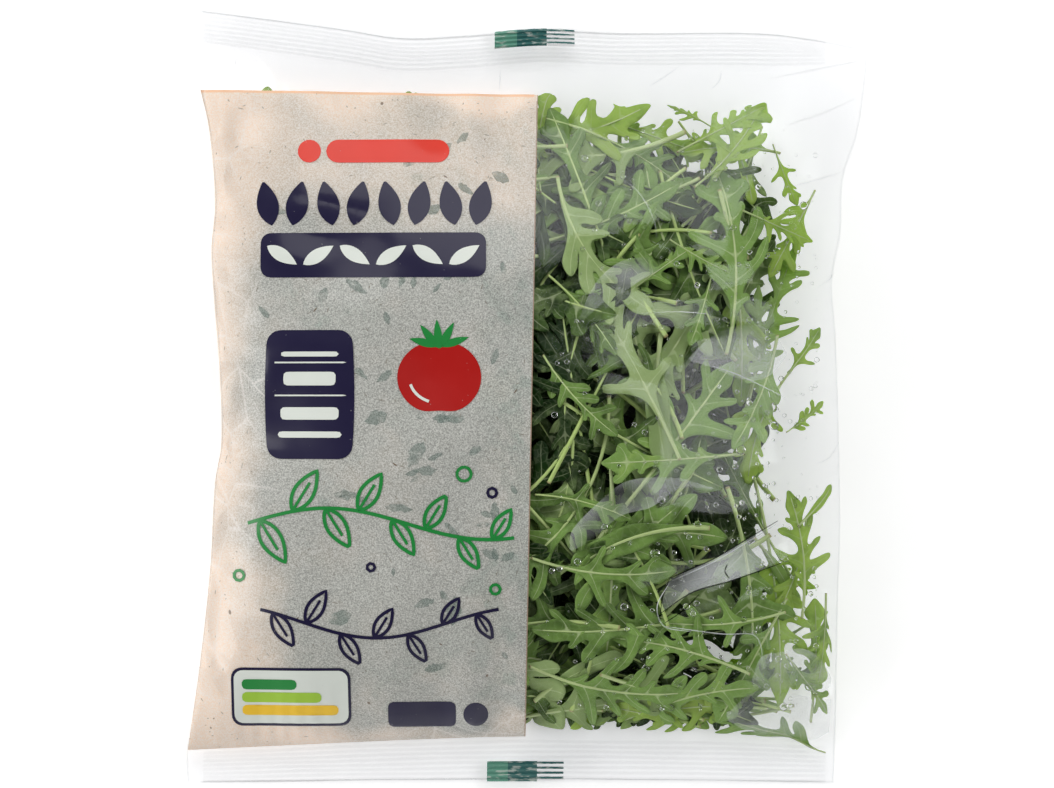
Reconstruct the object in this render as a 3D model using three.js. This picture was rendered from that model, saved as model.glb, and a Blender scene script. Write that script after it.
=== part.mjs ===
// A pillow bag of salad leaves, lying on its back: a tube of thin film, crimped shut across both ends,
// with a lap seam down the middle of its back. The leaves inside push the film out, so the bag is one
// closed solid: the film with all that it holds.
// Millimetres, +Z up, +X to the bag's right and +Y to its top, with the origin under the middle of the bag.
import * as THREE from "three";

// Driving sizes of the bag
const halfWidth = 111.6; // middle of the bag to its furthest corners
const halfLength = 127.7; // middle of the bag to its furthest cut edge
const filmHalf = 0.25; // half the thickness of the two films where they are sealed
const restHeight = 21; // height of the bag's side folds above the surface, where the bag is full
const crown = 29; // how far the full front stands above the side folds
const baseSpread = 1.15; // how hard the leaves press the back onto the surface
const sectionPower = 2.4; // 2 gives a cross-section a round front, and more a flatter one
const frontRoundness = 0.56; // how upright the front stands at the side folds, from 0 for upright
const backRoundness = 0.6;
const reliefRoundness = 0.5; // how fast swells, folds and pleats fade towards the side folds

// Driving sizes of the crimped end seals
const sealDepth = 12.4;
const sealRise = 6; // height of the seals above the surface
const cornerTuck = 4.9; // how much of the upper seal turns away at its right end
const tuckFrom = 75; // where along the upper seal it starts to turn away, and where it ends
const tuckTo = 110;
const lowerSealLevel = -113; // heights at which the sides are read along the seals' edges
const upperSealLevel = 110;
const upperCutLevel = 121;
const ribCount = 8;
const ribHeight = 0.35;

// Driving sizes of the lap seam down the back
const seamWidth = 14;
const seamHeight = 0.8;
const seamBevel = 0.9;

// How finely the skin is divided
const sideColumns = 16;
const pouchRows = 40;
const sideEvenness = 0.2; // 0 crowds the columns to the side folds, and 1 spaces them evenly
const endEvenness = 0.55; // the same for the rows at the seals

// Outline of the bag, as [place, edge] points: a side is read at a height, an end at a distance across
const leftSide = lineThrough([
  [-halfLength, -111.1], [-117, -halfWidth], [-108, -110.1], [-85, -106.4], [-55, -102.9], [-27, -101.2],
  [-15, -99.2], [8, -99.8], [31, -101.6], [47, -102.6], [62, -101.5], [86, -103.6], [101, -107.1],
  [113, -109.7], [halfLength, -108.7],
]);
const rightSide = lineThrough([
  [-halfLength, 100.6], [-117, 101.1], [-70, 101.3], [-39, 102], [20, 100.6], [38, 99.5], [54, 102.4],
  [71, 103.2], [86, 108.1], [101, 110.7], [111, halfWidth], [121, 110.4],
]);
const upperCut = lineThrough([
  [-110, halfLength], [-90, 125.2], [-60, 121.2], [-41, 118.3], [-20, 119], [5, 120.8], [30, 119.9],
  [76, 119.9], [95, 117.6], [110, 114.7],
]);
const lowerCut = lineThrough([[-110, -halfLength], [0, -126.8], [100, -halfLength]]);
const lowerSealEdge = lineThrough([[-110, -116], [-41, -112.8], [0, -111.6], [60, -112.2], [100, -113.8]]);

// Broad swells of the front, where leaves lean on the film: wavelength, heading, height and shift
const swells = [
  { length: 63, heading: 0.62, height: 1.2, shift: 0.4 },
  { length: 47, heading: 1.95, height: 0.8, shift: 2.2 },
  { length: 34, heading: 2.8, height: 0.35, shift: 4.1 },
  { length: 26, heading: 1.2, height: 0.15, shift: 5.3 },
];
// Pleats that fan out of the end seals
const pleatPitch = 23;
const pleatHeight = 1.3;
const pleatReach = 11;
const pleatSway = 1.7; // how far the pleats stray from an even pitch, and over which length
const pleatSwayLength = 19;
// Single folds of the front: where each starts and ends, its width and its height, below zero for a valley
const folds = [
  { from: [-99, -30], to: [-90, -8], width: 3.4, height: -2.6 },
  { from: [-90, -8], to: [-84, 8], width: 5, height: 1.4 },
  { from: [-101, -56], to: [-93, -49], width: 3, height: -1.6 },
  { from: [-98, 63], to: [-68, 52], width: 5, height: -1.5 },
  { from: [-94, -74], to: [-70, -84], width: 5, height: -1.2 },
  { from: [40, -62], to: [78, -49], width: 4.2, height: -2.2 },
  { from: [33, -78], to: [58, -64], width: 4.2, height: 1.8 },
  { from: [30, -73], to: [72, -82], width: 5, height: -1.4 },
  { from: [70, 97], to: [103, 108], width: 6, height: -1.2 },
  { from: [88, 44], to: [102, 38], width: 4, height: -1.8 },
  { from: [-30, -104], to: [-6, -110], width: 3.4, height: 1.2 },
  { from: [20, 40], to: [72, 26], width: 7, height: -1.3 },
  { from: [24, 8], to: [80, -18], width: 8, height: 1.2 },
];

// A smooth line through a few [place, value] points, level past both ends.
function lineThrough(points) {
  const last = points.length - 1;
  const slopeAt = (k) => {
    const [before, after] = [points[Math.max(k - 1, 0)], points[Math.min(k + 1, last)]];
    return (after[1] - before[1]) / (after[0] - before[0]);
  };
  return (place) => {
    if (place <= points[0][0]) return points[0][1];
    if (place >= points[last][0]) return points[last][1];
    const i = points.findIndex(([at]) => at > place) - 1;
    const span = points[i + 1][0] - points[i][0];
    const t = (place - points[i][0]) / span;
    const rise = t * t * (3 - 2 * t);
    return (
      THREE.MathUtils.lerp(points[i][1], points[i + 1][1], rise) +
      span * t * (1 - t) * (slopeAt(i) * (1 - t) - slopeAt(i + 1) * t)
    );
  };
}

// Inner edge of the upper seal, which turns away at the right corner.
function upperSealEdge(x) {
  return upperCut(x) - sealDepth + cornerTuck * THREE.MathUtils.smoothstep(x, tuckFrom, tuckTo);
}

// How full the bag is along its length, from 0 at the lower seal to 1 at the upper one: the leaves settle low.
function fullness(along) {
  return (1 - (1 - along) ** 6) ** 0.8 * (1 - along ** 3.4) ** 0.85;
}

// Bulge of a cross-section: 0 at both side folds and 1 in the middle.
function bulge(across, roundness) {
  return Math.max(1 - Math.abs(across) ** sectionPower, 0) ** roundness;
}

// Height that the swells add to the front at a point, before they fade towards the edges.
function swellHeight(x, y) {
  let height = 0;
  for (const swell of swells) {
    const place = x * Math.cos(swell.heading) + y * Math.sin(swell.heading);
    height += swell.height * Math.sin((2 * Math.PI * place) / swell.length + swell.shift);
  }
  return height;
}

// Height that the pleats add at a distance from a seal.
function pleatAt(x, distance) {
  const fade = (distance / pleatReach) * Math.exp(1 - distance / pleatReach);
  const sway = pleatSway * Math.sin(x / pleatSwayLength);
  return pleatHeight * fade * Math.cos((2 * Math.PI * x) / pleatPitch + sway);
}

// Height that the single folds add to the front at a point.
function foldHeight(x, y) {
  let height = 0;
  for (const fold of folds) {
    const [alongX, alongY] = [fold.to[0] - fold.from[0], fold.to[1] - fold.from[1]];
    const lengthSquared = alongX ** 2 + alongY ** 2;
    const share = ((x - fold.from[0]) * alongX + (y - fold.from[1]) * alongY) / lengthSquared;
    const nearest = THREE.MathUtils.clamp(share, 0, 1);
    const off = Math.hypot(x - fold.from[0] - nearest * alongX, y - fold.from[1] - nearest * alongY);
    height += fold.height * Math.exp(-((off / fold.width) ** 2));
  }
  return height;
}

// How much of the lap seam's height stands at a point of the back.
function seamShare(x) {
  return 1 - THREE.MathUtils.smoothstep(Math.abs(x), seamWidth / 2, seamWidth / 2 + seamBevel);
}

// A point of the bag's skin: across runs from -1 at the left side to 1 at the right one. A row is a place
// along the bag: the lower seal, the pouch or the upper seal, and the share of that stretch.
function skinPoint(across, row) {
  const side = (across + 1) / 2;
  const level = THREE.MathUtils.lerp(row.from.level, row.to.level, row.share);
  const x = THREE.MathUtils.lerp(leftSide(level), rightSide(level), side);
  const y = THREE.MathUtils.lerp(row.from.edge(x), row.to.edge(x), row.share);
  const along = row.inPouch ? row.share : 0;
  const full = row.inPouch ? fullness(along) : 0;
  const middle = sealRise + (restHeight - sealRise) * full + row.rib;
  const fade = full * bulge(across, reliefRoundness);
  const pleatFade = row.inPouch ? bulge(across, reliefRoundness) : 0;
  const toSeal = Math.min(y - lowerSealEdge(x), upperSealEdge(x) - y);
  const relief = fade * (swellHeight(x, y) + foldHeight(x, y)) + pleatFade * pleatAt(x, Math.max(toSeal, 0));
  const front = middle + filmHalf + crown * full * bulge(across, frontRoundness) + relief;
  const pressed = middle - filmHalf - baseSpread * restHeight * full * bulge(across, backRoundness);
  const back = Math.max(pressed - (row.inPouch ? seamHeight * seamShare(x) : 0), 0);
  return { x, y, front: Math.max(front, back + 2 * filmHalf), back };
}

// The places across the bag where the skin has a corner: the lap seam's edges, and from there closer and
// closer together towards the side folds.
function skinColumns() {
  const seamEdge = seamWidth / 2 / halfWidth;
  const seamFoot = seamEdge + seamBevel / halfWidth;
  const half = [seamEdge / 3, seamEdge, seamFoot];
  for (let i = 1; i <= sideColumns; i++) {
    const share = i / sideColumns;
    const crowded = THREE.MathUtils.lerp(Math.sin((share * Math.PI) / 2), share, sideEvenness);
    half.push(THREE.MathUtils.lerp(seamFoot, 1, crowded));
  }
  return [...half.toReversed().map((across) => -across), ...half];
}

// The rows from the lower cut edge to the upper one. A seal's rows rise and fall to make its ribs.
function skinRows() {
  const edges = {
    lowerCut: { edge: lowerCut, level: -halfLength },
    lowerSeal: { edge: lowerSealEdge, level: lowerSealLevel },
    upperSeal: { edge: upperSealEdge, level: upperSealLevel },
    upperCut: { edge: upperCut, level: upperCutLevel },
  };
  const rows = [];
  for (let i = 0; i < 2 * ribCount; i++) {
    const rib = i % 2 ? ribHeight : -ribHeight;
    rows.push({ from: edges.lowerCut, to: edges.lowerSeal, share: i / (2 * ribCount), rib, inPouch: false });
  }
  for (let i = 0; i <= pouchRows; i++) {
    const share = i / pouchRows;
    const crowded = THREE.MathUtils.lerp(0.5 + 0.5 * Math.sin((share - 0.5) * Math.PI), share, endEvenness);
    rows.push({ from: edges.lowerSeal, to: edges.upperSeal, share: crowded, rib: 0, inPouch: true });
  }
  for (let i = 1; i <= 2 * ribCount; i++) {
    const rib = i % 2 ? -ribHeight : ribHeight;
    rows.push({ from: edges.upperSeal, to: edges.upperCut, share: i / (2 * ribCount), rib, inPouch: false });
  }
  return rows;
}

// The closed skin: a ring of points round the film tube for each row, the rings joined, and both ends shut.
function bagGeometry() {
  const columns = skinColumns();
  const rows = skinRows();
  const ringSize = 2 * columns.length;
  const positions = [];
  for (const row of rows) {
    const ring = columns.map((across) => skinPoint(across, row));
    ring.forEach((p) => positions.push(p.x, p.y, p.front));
    ring.toReversed().forEach((p) => positions.push(p.x, p.y, p.back));
  }
  const faces = [];
  const quad = (a, b, c, d) => faces.push(a, b, c, a, c, d);
  for (let r = 0; r + 1 < rows.length; r++) {
    for (let k = 0; k < ringSize; k++) {
      const next = (k + 1) % ringSize;
      quad(r * ringSize + k, r * ringSize + next, (r + 1) * ringSize + next, (r + 1) * ringSize + k);
    }
  }
  const lastRing = (rows.length - 1) * ringSize;
  for (let k = 0; k + 1 < columns.length; k++) {
    const under = ringSize - 1 - k;
    quad(under, under - 1, k + 1, k);
    quad(lastRing + k, lastRing + k + 1, lastRing + under - 1, lastRing + under);
  }
  const geometry = new THREE.BufferGeometry();
  geometry.setAttribute("position", new THREE.Float32BufferAttribute(positions, 3));
  geometry.setIndex(faces);
  geometry.computeVertexNormals();
  return geometry;
}

function makeBag() {
  const film = new THREE.MeshStandardMaterial({ color: 0xb9c2a4, roughness: 0.25, metalness: 0 });
  const bag = new THREE.Mesh(bagGeometry(), film);
  bag.name = "bag";
  return bag;
}

const saladBag = new THREE.Group();
saladBag.add(makeBag());

export default saladBag;
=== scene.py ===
"""A sealed pillow bag of wild rocket on its back: clear film with a printed left half, full of leaves.

Shapes are worked out in millimetres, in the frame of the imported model: +X to the bag's right, +Y to its
upper seal and +Z out of its front. Every mesh is written in metres.
"""

import logging
import math
from dataclasses import dataclass, field
from enum import Enum
from functools import reduce
from typing import Callable, Sequence

import bmesh
import bpy
import numpy as np
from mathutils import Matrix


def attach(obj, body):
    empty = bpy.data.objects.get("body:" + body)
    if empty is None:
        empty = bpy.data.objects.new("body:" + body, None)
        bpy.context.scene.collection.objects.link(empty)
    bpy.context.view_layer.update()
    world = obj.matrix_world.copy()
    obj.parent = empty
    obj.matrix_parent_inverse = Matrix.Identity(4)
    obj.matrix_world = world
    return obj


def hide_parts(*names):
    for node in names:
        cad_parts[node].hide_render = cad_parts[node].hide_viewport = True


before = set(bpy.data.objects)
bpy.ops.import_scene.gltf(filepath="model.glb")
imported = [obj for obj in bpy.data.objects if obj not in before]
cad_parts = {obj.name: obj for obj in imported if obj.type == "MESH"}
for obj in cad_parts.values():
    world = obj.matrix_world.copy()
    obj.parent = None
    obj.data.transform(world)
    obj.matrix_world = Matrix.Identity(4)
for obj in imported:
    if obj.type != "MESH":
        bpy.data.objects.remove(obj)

MM = 0.001  # metres in a millimetre
BODY = "root"
SHARP_ANGLE = 50.0  # degrees between two faces, past which their edge shows as an edge

Array = np.ndarray
Point = tuple[float, float]  # a place on the bag, in millimetres
Path = tuple[Point, ...]
Span = tuple[float, float]  # a range, from its low end to its high one
Colour = tuple[float, float, float, float]  # linear RGBA
Shape = bmesh.types.BMesh
Socket = bpy.types.NodeSocket
Node = bpy.types.Node
Material = bpy.types.Material

WHITE: Colour = (1, 1, 1, 1)
log = logging.getLogger("salad_bag")


class Slot(Enum):
    """Names for the material slots."""

    CLEAR_FILM = "clear_film"
    PRINTED_FILM = "printed_film"
    LEAF = "leaf_green"
    STALK = "stalk_green"
    INK = "print_ink"
    WATER = "water"


class Tone(Enum):
    """The colours of the bag and its leaves. Some of them hold painted light: the print's peach is painted
    backlight, GHOST is the painted shadow of leaves on the print, the darkest leaf green is also painted
    shade and the freshest one also painted backlight.
    """

    PAPER_GREY = "#bbbcb7"
    # painted backlight: the print's look where nothing lies behind it
    PAPER_PEACH = "#fdead9"
    PAPER_FIBRE = "#746a58"
    PAPER_EDGE = "#a98a70"
    PAPER_TOP = "#ffcfa6"
    PAPER_SPECK = "#6b5238"
    # painted shadow of leaves that lie near the print
    GHOST = "#80968c"
    NAVY = "#140e34"
    RED = "#a90a04"
    BRIGHT_RED = "#dc3320"
    GREEN = "#1b8238"
    LIME = "#9cc43a"
    AMBER = "#eec02c"
    PALE = "#d9ded6"
    TEAL = "#2e6663"
    TEAL_LIGHT = "#5f9a86"
    # the darkest leaf green, also painted shade on deep leaves
    LEAF_DARK = "#122c07"
    LEAF_MID = "#83a655"
    # the freshest leaf green, also painted backlight near the bag's edges
    LEAF_FRESH = "#c3e072"
    LEAF_UNDER = "#a3ba7b"
    LEAF_VEIN = "#dbe8b6"
    LEAF_GLOW = "#c0e052"
    STALK = "#c6d79a"
    STALK_CUT = "#b3a374"
    FLOOR = "#fbfbfb"

    def linear(self) -> Colour:
        """Returns the colour as linear RGBA."""
        steps = (int(self.value[i:i + 2], 16) / 255 for i in (1, 3, 5))
        return (*(s / 12.92 if s <= 0.04045 else ((s + 0.055) / 1.055) ** 2.4 for s in steps), 1.0)


# Small helpers


def lerp(start: Array, end: Array, share: Array) -> Array:
    """Returns the value that lies a share of the way from start to end."""
    return start + (end - start) * share


def smoothstep(start: float, end: float, at: Array) -> Array:
    """Returns 0 before start and 1 after end, with an even rise between them."""
    share = np.clip((at - start) / (end - start), 0, 1)
    return share * share * (3 - 2 * share)


def soft_below(value: Array, limit: Array, softness: float) -> Array:
    """Returns the value, eased so that it stays below the limit."""
    return limit - softness * np.logaddexp(0, (limit - value) / softness)


def soft_above(value: Array, limit: Array, softness: float) -> Array:
    """Returns the value, eased so that it stays above the limit."""
    return -soft_below(-value, -limit, softness)


def hump(at: Array, centre: float, width: float) -> Array:
    """Returns a round hump that is 1 high at its centre."""
    return np.exp(-(((at - centre) / width) ** 2))


def pairs(x: Array, y: Array) -> Array:
    """Returns places as rows of x and y."""
    return np.stack([x, y], 1)


def pick(options: Sequence, number: int) -> object:
    """Returns the option whose turn it is, where a few of them take turns."""
    return options[number % len(options)]


def ripple(x: Array, y: Array, wavelength: float, seed: int, headings: int = 6) -> Array:
    """Adds up a few bent waves of random heading.

    Args:
        x: Places across the bag.
        y: Places along it.
        wavelength: The middle wavelength.
        seed: Picks the headings and shifts.
        headings: How many waves are added.

    Returns:
        Heights of about -2 to 2.
    """
    draw = np.random.default_rng(seed)
    total = np.zeros(np.broadcast(x, y).shape)
    for _ in range(headings):
        heading, shift = draw.uniform(0, np.pi), draw.uniform(0, 2 * np.pi)
        pitch = wavelength * draw.uniform(0.75, 1.35)
        bend = 0.9 * np.sin((x * np.sin(heading) - y * np.cos(heading)) / (1.7 * wavelength) + 2 * shift)
        total += np.sin(2 * np.pi * (x * np.cos(heading) + y * np.sin(heading)) / pitch + shift + bend)
    return total / math.sqrt(headings / 2)


class Line:
    """A smooth line through a few (place, value) points, level past both ends."""

    def __init__(self, *points: Point) -> None:
        """Works out the slope at each point."""
        self.places, self.values = np.array(points, float).T
        spots = np.arange(len(points))
        before, after = np.maximum(spots - 1, 0), np.minimum(spots + 1, len(points) - 1)
        self.slopes = (self.values[after] - self.values[before]) / (self.places[after] - self.places[before])

    def __call__(self, at: Array) -> Array:
        """Returns the line's value at each place."""
        at = np.clip(at, self.places[0], self.places[-1])
        i = np.clip(np.searchsorted(self.places, at, side="right") - 1, 0, len(self.places) - 2)
        span = self.places[i + 1] - self.places[i]
        t = (at - self.places[i]) / span
        bow = span * t * (1 - t) * (self.slopes[i] * (1 - t) - self.slopes[i + 1] * t)
        return lerp(self.values[i], self.values[i + 1], t * t * (3 - 2 * t)) + bow


def evenly(path: Array, step: float) -> Array:
    """Returns the points of a path at even steps."""
    runs = np.concatenate([[0], np.cumsum(np.linalg.norm(np.diff(path, axis=0), axis=1))])
    places = np.linspace(0, runs[-1], max(3, int(runs[-1] / step) + 1))
    return pairs(*(np.interp(places, runs, path[:, axis]) for axis in range(2)))


def rounded(points: Sequence[Point]) -> Array:
    """Returns a smooth path through a few points, or the straight one through two."""
    corners = np.array(points)
    if len(points) < 3:
        return corners
    spots = np.arange(len(points))
    share = np.linspace(0, len(points) - 1, 12 * len(points))
    return pairs(*(Line(*zip(spots, corners[:, axis]))(share) for axis in range(2)))


# Meshes


def flat_grid(rows: int, columns: int) -> Shape:
    """Returns a flat grid of vertices that reaches from -1 to 1 both ways."""
    sheet = bmesh.new()
    bmesh.ops.create_grid(sheet, x_segments=columns - 1, y_segments=rows - 1, size=1.0)
    return sheet


def cell_of(vertex: bmesh.types.BMVert, rows: int, columns: int) -> tuple[int, int]:
    """Returns the row and the column of a flat grid's vertex."""
    return round((vertex.co.y + 1) / 2 * (rows - 1)), round((vertex.co.x + 1) / 2 * (columns - 1))


def grid_sheet(points: Array) -> Shape:
    """Returns a sheet of quads through rows by columns of points."""
    rows, columns = points.shape[:2]
    sheet = flat_grid(rows, columns)
    for vertex in sheet.verts:
        vertex.co = points[cell_of(vertex, rows, columns)]
    return sheet


def thicken(sheet: Shape, rise: float) -> None:
    """Closes a sheet into a thin solid, by copying its faces, moving the copy along Z and walling the rim."""
    made = bmesh.ops.extrude_face_region(sheet, geom=sheet.faces[:], use_keep_orig=True)
    copies = [item for item in made["geom"] if isinstance(item, bmesh.types.BMVert)]
    bmesh.ops.translate(sheet, vec=(0, 0, rise), verts=copies)
    bmesh.ops.recalc_face_normals(sheet, faces=sheet.faces[:])


def to_mesh(name: str, shape: Shape) -> bpy.types.Mesh:
    """Writes a shape in millimetres to a new mesh in metres and frees it."""
    bmesh.ops.scale(shape, vec=(MM,) * 3, verts=shape.verts[:])
    mesh = bpy.data.meshes.new(name)
    shape.to_mesh(mesh)
    shape.free()
    mesh.shade_smooth()
    mesh.set_sharp_from_angle(angle=math.radians(SHARP_ANGLE))
    return mesh


def closed_sheet(name: str, outer: Array, inner: Array, marks: Array | None = None) -> bpy.types.Mesh:
    """Makes a closed form of two sheets that are joined round their rims.

    Args:
        name: The mesh's name.
        outer: The outer sheet's points, rows by columns by xyz, in millimetres.
        inner: The inner sheet's points.
        marks: Rows by columns by four values, kept as the attribute "marks".

    Returns:
        The mesh, in metres.
    """
    rows, columns = outer.shape[:2]
    sheet = flat_grid(rows, columns)
    layer = None if marks is None else sheet.verts.layers.float_color.new("marks")
    thicken(sheet, 1)
    for vertex in sheet.verts:
        cell = cell_of(vertex, rows, columns)
        vertex.co = outer[cell] if vertex.co.z > 0.5 else inner[cell]
        if marks is not None:
            vertex[layer] = marks[cell]
    bmesh.ops.recalc_face_normals(sheet, faces=sheet.faces[:])
    return to_mesh(name, sheet)


@dataclass
class Part:
    """A mesh as arrays: corners in millimetres, triangles, and four values for each corner or none."""

    points: Array
    triangles: Array
    marks: Array | None = None

    @classmethod
    def of(cls, shape: Shape) -> "Part":
        """Reads a shape of triangles, without marks."""
        shape.verts.index_update()
        points = np.array([vertex.co for vertex in shape.verts])
        return cls(points, np.array([[vertex.index for vertex in face.verts] for face in shape.faces]))

    @classmethod
    def joined(cls, parts: Sequence["Part"]) -> "Part":
        """Joins parts that all have marks."""
        starts = np.cumsum([0] + [len(part.points) for part in parts[:-1]])
        triangles = [part.triangles + start for part, start in zip(parts, starts)]
        points, marks = [part.points for part in parts], [part.marks for part in parts]
        return cls(*(np.concatenate(rows) for rows in (points, triangles, marks)))

    def mesh(self, name: str) -> bpy.types.Mesh:
        """Returns the part as a mesh in metres, its marks kept as the attribute "marks"."""
        count = len(self.triangles)
        mesh = bpy.data.meshes.new(name)
        mesh.vertices.add(len(self.points))
        mesh.vertices.foreach_set("co", (self.points * MM).astype(np.float32).ravel())
        mesh.loops.add(3 * count)
        mesh.loops.foreach_set("vertex_index", self.triangles.astype(np.int32).ravel())
        mesh.polygons.add(count)
        mesh.polygons.foreach_set("loop_start", np.arange(0, 3 * count, 3, dtype=np.int32))
        mesh.update(calc_edges=True)
        if self.marks is not None:
            layer = mesh.attributes.new("marks", "FLOAT_COLOR", "POINT")
            layer.data.foreach_set("color", self.marks.astype(np.float32).ravel())
        mesh.shade_smooth()
        return mesh


def add_piece(mesh: bpy.types.Mesh, material: Material) -> bpy.types.Object:
    """Puts a mesh in the scene as a piece of the bag, at the origin.

    Args:
        mesh: The finished mesh.
        material: Its finish.

    Returns:
        The piece, riding on the bag's body.
    """
    piece = bpy.data.objects.new(mesh.name, mesh)
    bpy.context.scene.collection.objects.link(piece)
    mesh.materials.append(material)
    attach(piece, BODY)
    log.info("%s: %d triangles", piece.name, sum(len(face.vertices) - 2 for face in mesh.polygons))
    return piece


# Finishes


class Graph:
    """A material's nodes, with short ways to add and join them."""

    def __init__(self, name: str) -> None:
        """Starts an empty material."""
        self.material = bpy.data.materials.new(name)
        self.material.use_nodes = True
        self.nodes = self.material.node_tree.nodes
        self.nodes.clear()

    def add(self, kind: str, inputs: dict | None = None, **settings: object) -> Node:
        """Adds a node.

        Args:
            kind: The node's type, without its "ShaderNode" prefix.
            inputs: A value or a socket for each input, by name or number.
            settings: The node's own settings.

        Returns:
            The node.
        """
        node = self.nodes.new("ShaderNode" + kind)
        for key, value in settings.items():
            setattr(node, key, value)
        for key, value in (inputs or {}).items():
            if isinstance(value, Socket):
                self.material.node_tree.links.new(value, node.inputs[key])
            else:
                node.inputs[key].default_value = value
        return node

    def place(self) -> Socket:
        """Returns the place on the piece, in metres."""
        return self.add("TexCoord").outputs["Object"]

    def axes(self) -> tuple[Socket, ...]:
        """Returns the place on the piece as x, y and z, in metres."""
        return tuple(self.add("SeparateXYZ", {0: self.place()}).outputs)

    def marks(self) -> tuple[Socket, ...]:
        """Returns the first three values of the attribute "marks"."""
        colour = self.add("Attribute", attribute_name="marks").outputs["Color"]
        return tuple(self.add("SeparateColor", {0: colour}).outputs)

    def last_mark(self) -> Socket:
        """Returns the fourth value of the attribute "marks"."""
        return self.add("Attribute", attribute_name="marks").outputs["Alpha"]

    def math(self, operation: str, *values: object, clamp: bool = False) -> Socket:
        """Returns the result of one sum on sockets or numbers."""
        return self.add("Math", dict(enumerate(values)), operation=operation, use_clamp=clamp).outputs[0]

    def times(self, first: object, second: object) -> Socket:
        """Returns the product of two sockets or numbers."""
        return self.math("MULTIPLY", first, second)

    def step(self, value: Socket, low: float, high: float) -> Socket:
        """Returns 0 at low and 1 at high, level past both, with a smooth rise between them."""
        inputs = {"Value": value, "From Min": low, "From Max": high}
        return self.add("MapRange", inputs, interpolation_type="SMOOTHSTEP").outputs[0]

    def noise(self, scale: float, detail: float = 2.0, at: Socket | None = None) -> Socket:
        """Returns noise of a given scale, in cells to a metre."""
        inputs = {"Vector": at or self.place(), "Scale": scale, "Detail": detail}
        return self.add("TexNoise", inputs).outputs[0]

    def stretched(self, by: tuple[float, float, float], turn: float = 0.0) -> Socket:
        """Returns the place for a texture that is stretched by axis, on axes turned about Z."""
        inputs = {"Vector": self.place(), "Rotation": (0, 0, turn), "Scale": by}
        return self.add("Mapping", inputs, vector_type="TEXTURE").outputs[0]

    def cells(self, spacing: float, at: Socket, feature: str = "F1") -> Node:
        """Returns a texture of cells with some spacing in millimetres."""
        return self.add("TexVoronoi", {"Vector": at, "Scale": 1 / (spacing * MM)}, feature=feature)

    def blend(self, share: object, first: object, second: object, mode: str = "MIX") -> Socket:
        """Returns two colours mixed by a share."""
        inputs = {0: share, 6: first, 7: second}
        return self.add("Mix", inputs, data_type="RGBA", blend_type=mode).outputs[2]

    def tinted(self, colour: object, mask: object, strength: float, tone: Tone) -> Socket:
        """Returns a colour, covered with a tone where a mask is 1, as far as the strength says."""
        return self.blend(self.times(mask, strength), colour, tone.linear())

    def bump(self, height: Socket, depth: float, strength: float = 1.0,
             under: Socket | None = None) -> Socket:
        """Returns the normal over a relief of some depth in millimetres, on top of another one or none."""
        inputs = {"Height": height, "Distance": depth * MM, "Strength": strength}
        if under:
            inputs["Normal"] = under
        return self.add("Bump", inputs).outputs[0]

    def mix(self, share: object, first: Node, second: Node) -> Node:
        """Returns two shaders mixed by a share."""
        return self.add("MixShader", {0: share, 1: first.outputs[0], 2: second.outputs[0]})

    def finish(self, shader: Node) -> Material:
        """Joins the last shader to the output and returns the material."""
        self.add("OutputMaterial", {0: shader.outputs[0]})
        return self.material


@dataclass(frozen=True)
class ClearFilm:
    """Thin glossy film with a fine crinkle. It is duller in a few areas, each of which fades in between two
    places across and between two places up, in metres: the window's left strip, its foot and the upper right
    corner."""

    straight_gloss: float = 0.03
    edge_gloss: float = 0.3
    roughness: float = 0.3
    least_roughness: float = 0.1
    crinkle: float = 0.08
    calm: float = 0.92
    calm_areas: tuple[tuple[Span, Span], ...] = (
        ((0.036, 0.014), (0.052, 0.036)), ((0.084, 0.06), (-0.062, -0.074)), ((0.076, 0.09), (0.064, 0.08)),
    )

    def material(self, name: str) -> Material:
        """Returns the finish as a material."""
        g = Graph(name)
        normal = g.bump(g.noise(420, 1, g.stretched((1, 2, 1), 0.7)), self.crinkle, 0.5)
        facing = g.add("LayerWeight", {"Blend": 0.5, "Normal": normal}).outputs["Facing"]
        share = g.math("MULTIPLY_ADD", g.math("POWER", facing, 4.0), self.edge_gloss, self.straight_gloss)
        across, up, _ = g.axes()
        areas = [g.times(g.step(across, *sides), g.step(up, *ends)) for sides, ends in self.calm_areas]
        dull = reduce(lambda first, second: g.math("MAXIMUM", first, second), areas)
        share = g.times(share, g.math("MULTIPLY_ADD", dull, -self.calm, 1.0))
        blur = g.math("MULTIPLY_ADD", g.noise(8, 2), self.roughness, -0.3 * self.roughness, clamp=True)
        blur = g.math("MAXIMUM", blur, self.least_roughness)
        clear = g.add("BsdfTransparent", {"Color": (0.967, 0.969, 0.974, 1)})
        gloss = g.add("BsdfGlossy", {"Color": (0.95, 0.98, 1, 1), "Roughness": blur, "Normal": normal})
        return g.finish(g.mix(share, clear, gloss))


@dataclass(frozen=True)
class FilmLine:
    """Painted shade and painted highlight on creased film: a see-through line darkened as painted shade, with
    a share of white as a painted glint, between places across in metres: where that starts, where it is full,
    until where, and where it ends."""

    clearness: float
    shine: float = 0.0
    reach: tuple[float, float, float, float] = (-1.0, -0.9, 0.9, 1.0)

    def material(self, name: str) -> Material:
        """Returns the finish as a material."""
        g = Graph(name)
        clear = g.add("BsdfTransparent", {"Color": (self.clearness, self.clearness, self.clearness, 1)})
        # the white share is a painted glint
        white = g.add("BsdfDiffuse", {"Color": (0.93, 0.96, 0.97, 1)})
        start, full, until, end = self.reach
        across, _, _ = g.axes()
        within = g.times(g.step(across, start, full), g.step(across, end, until))
        share = g.times(g.step(g.noise(60, 2), 0.3, 0.65), self.shine)
        return g.finish(g.mix(g.times(share, within), clear, white))


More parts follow.
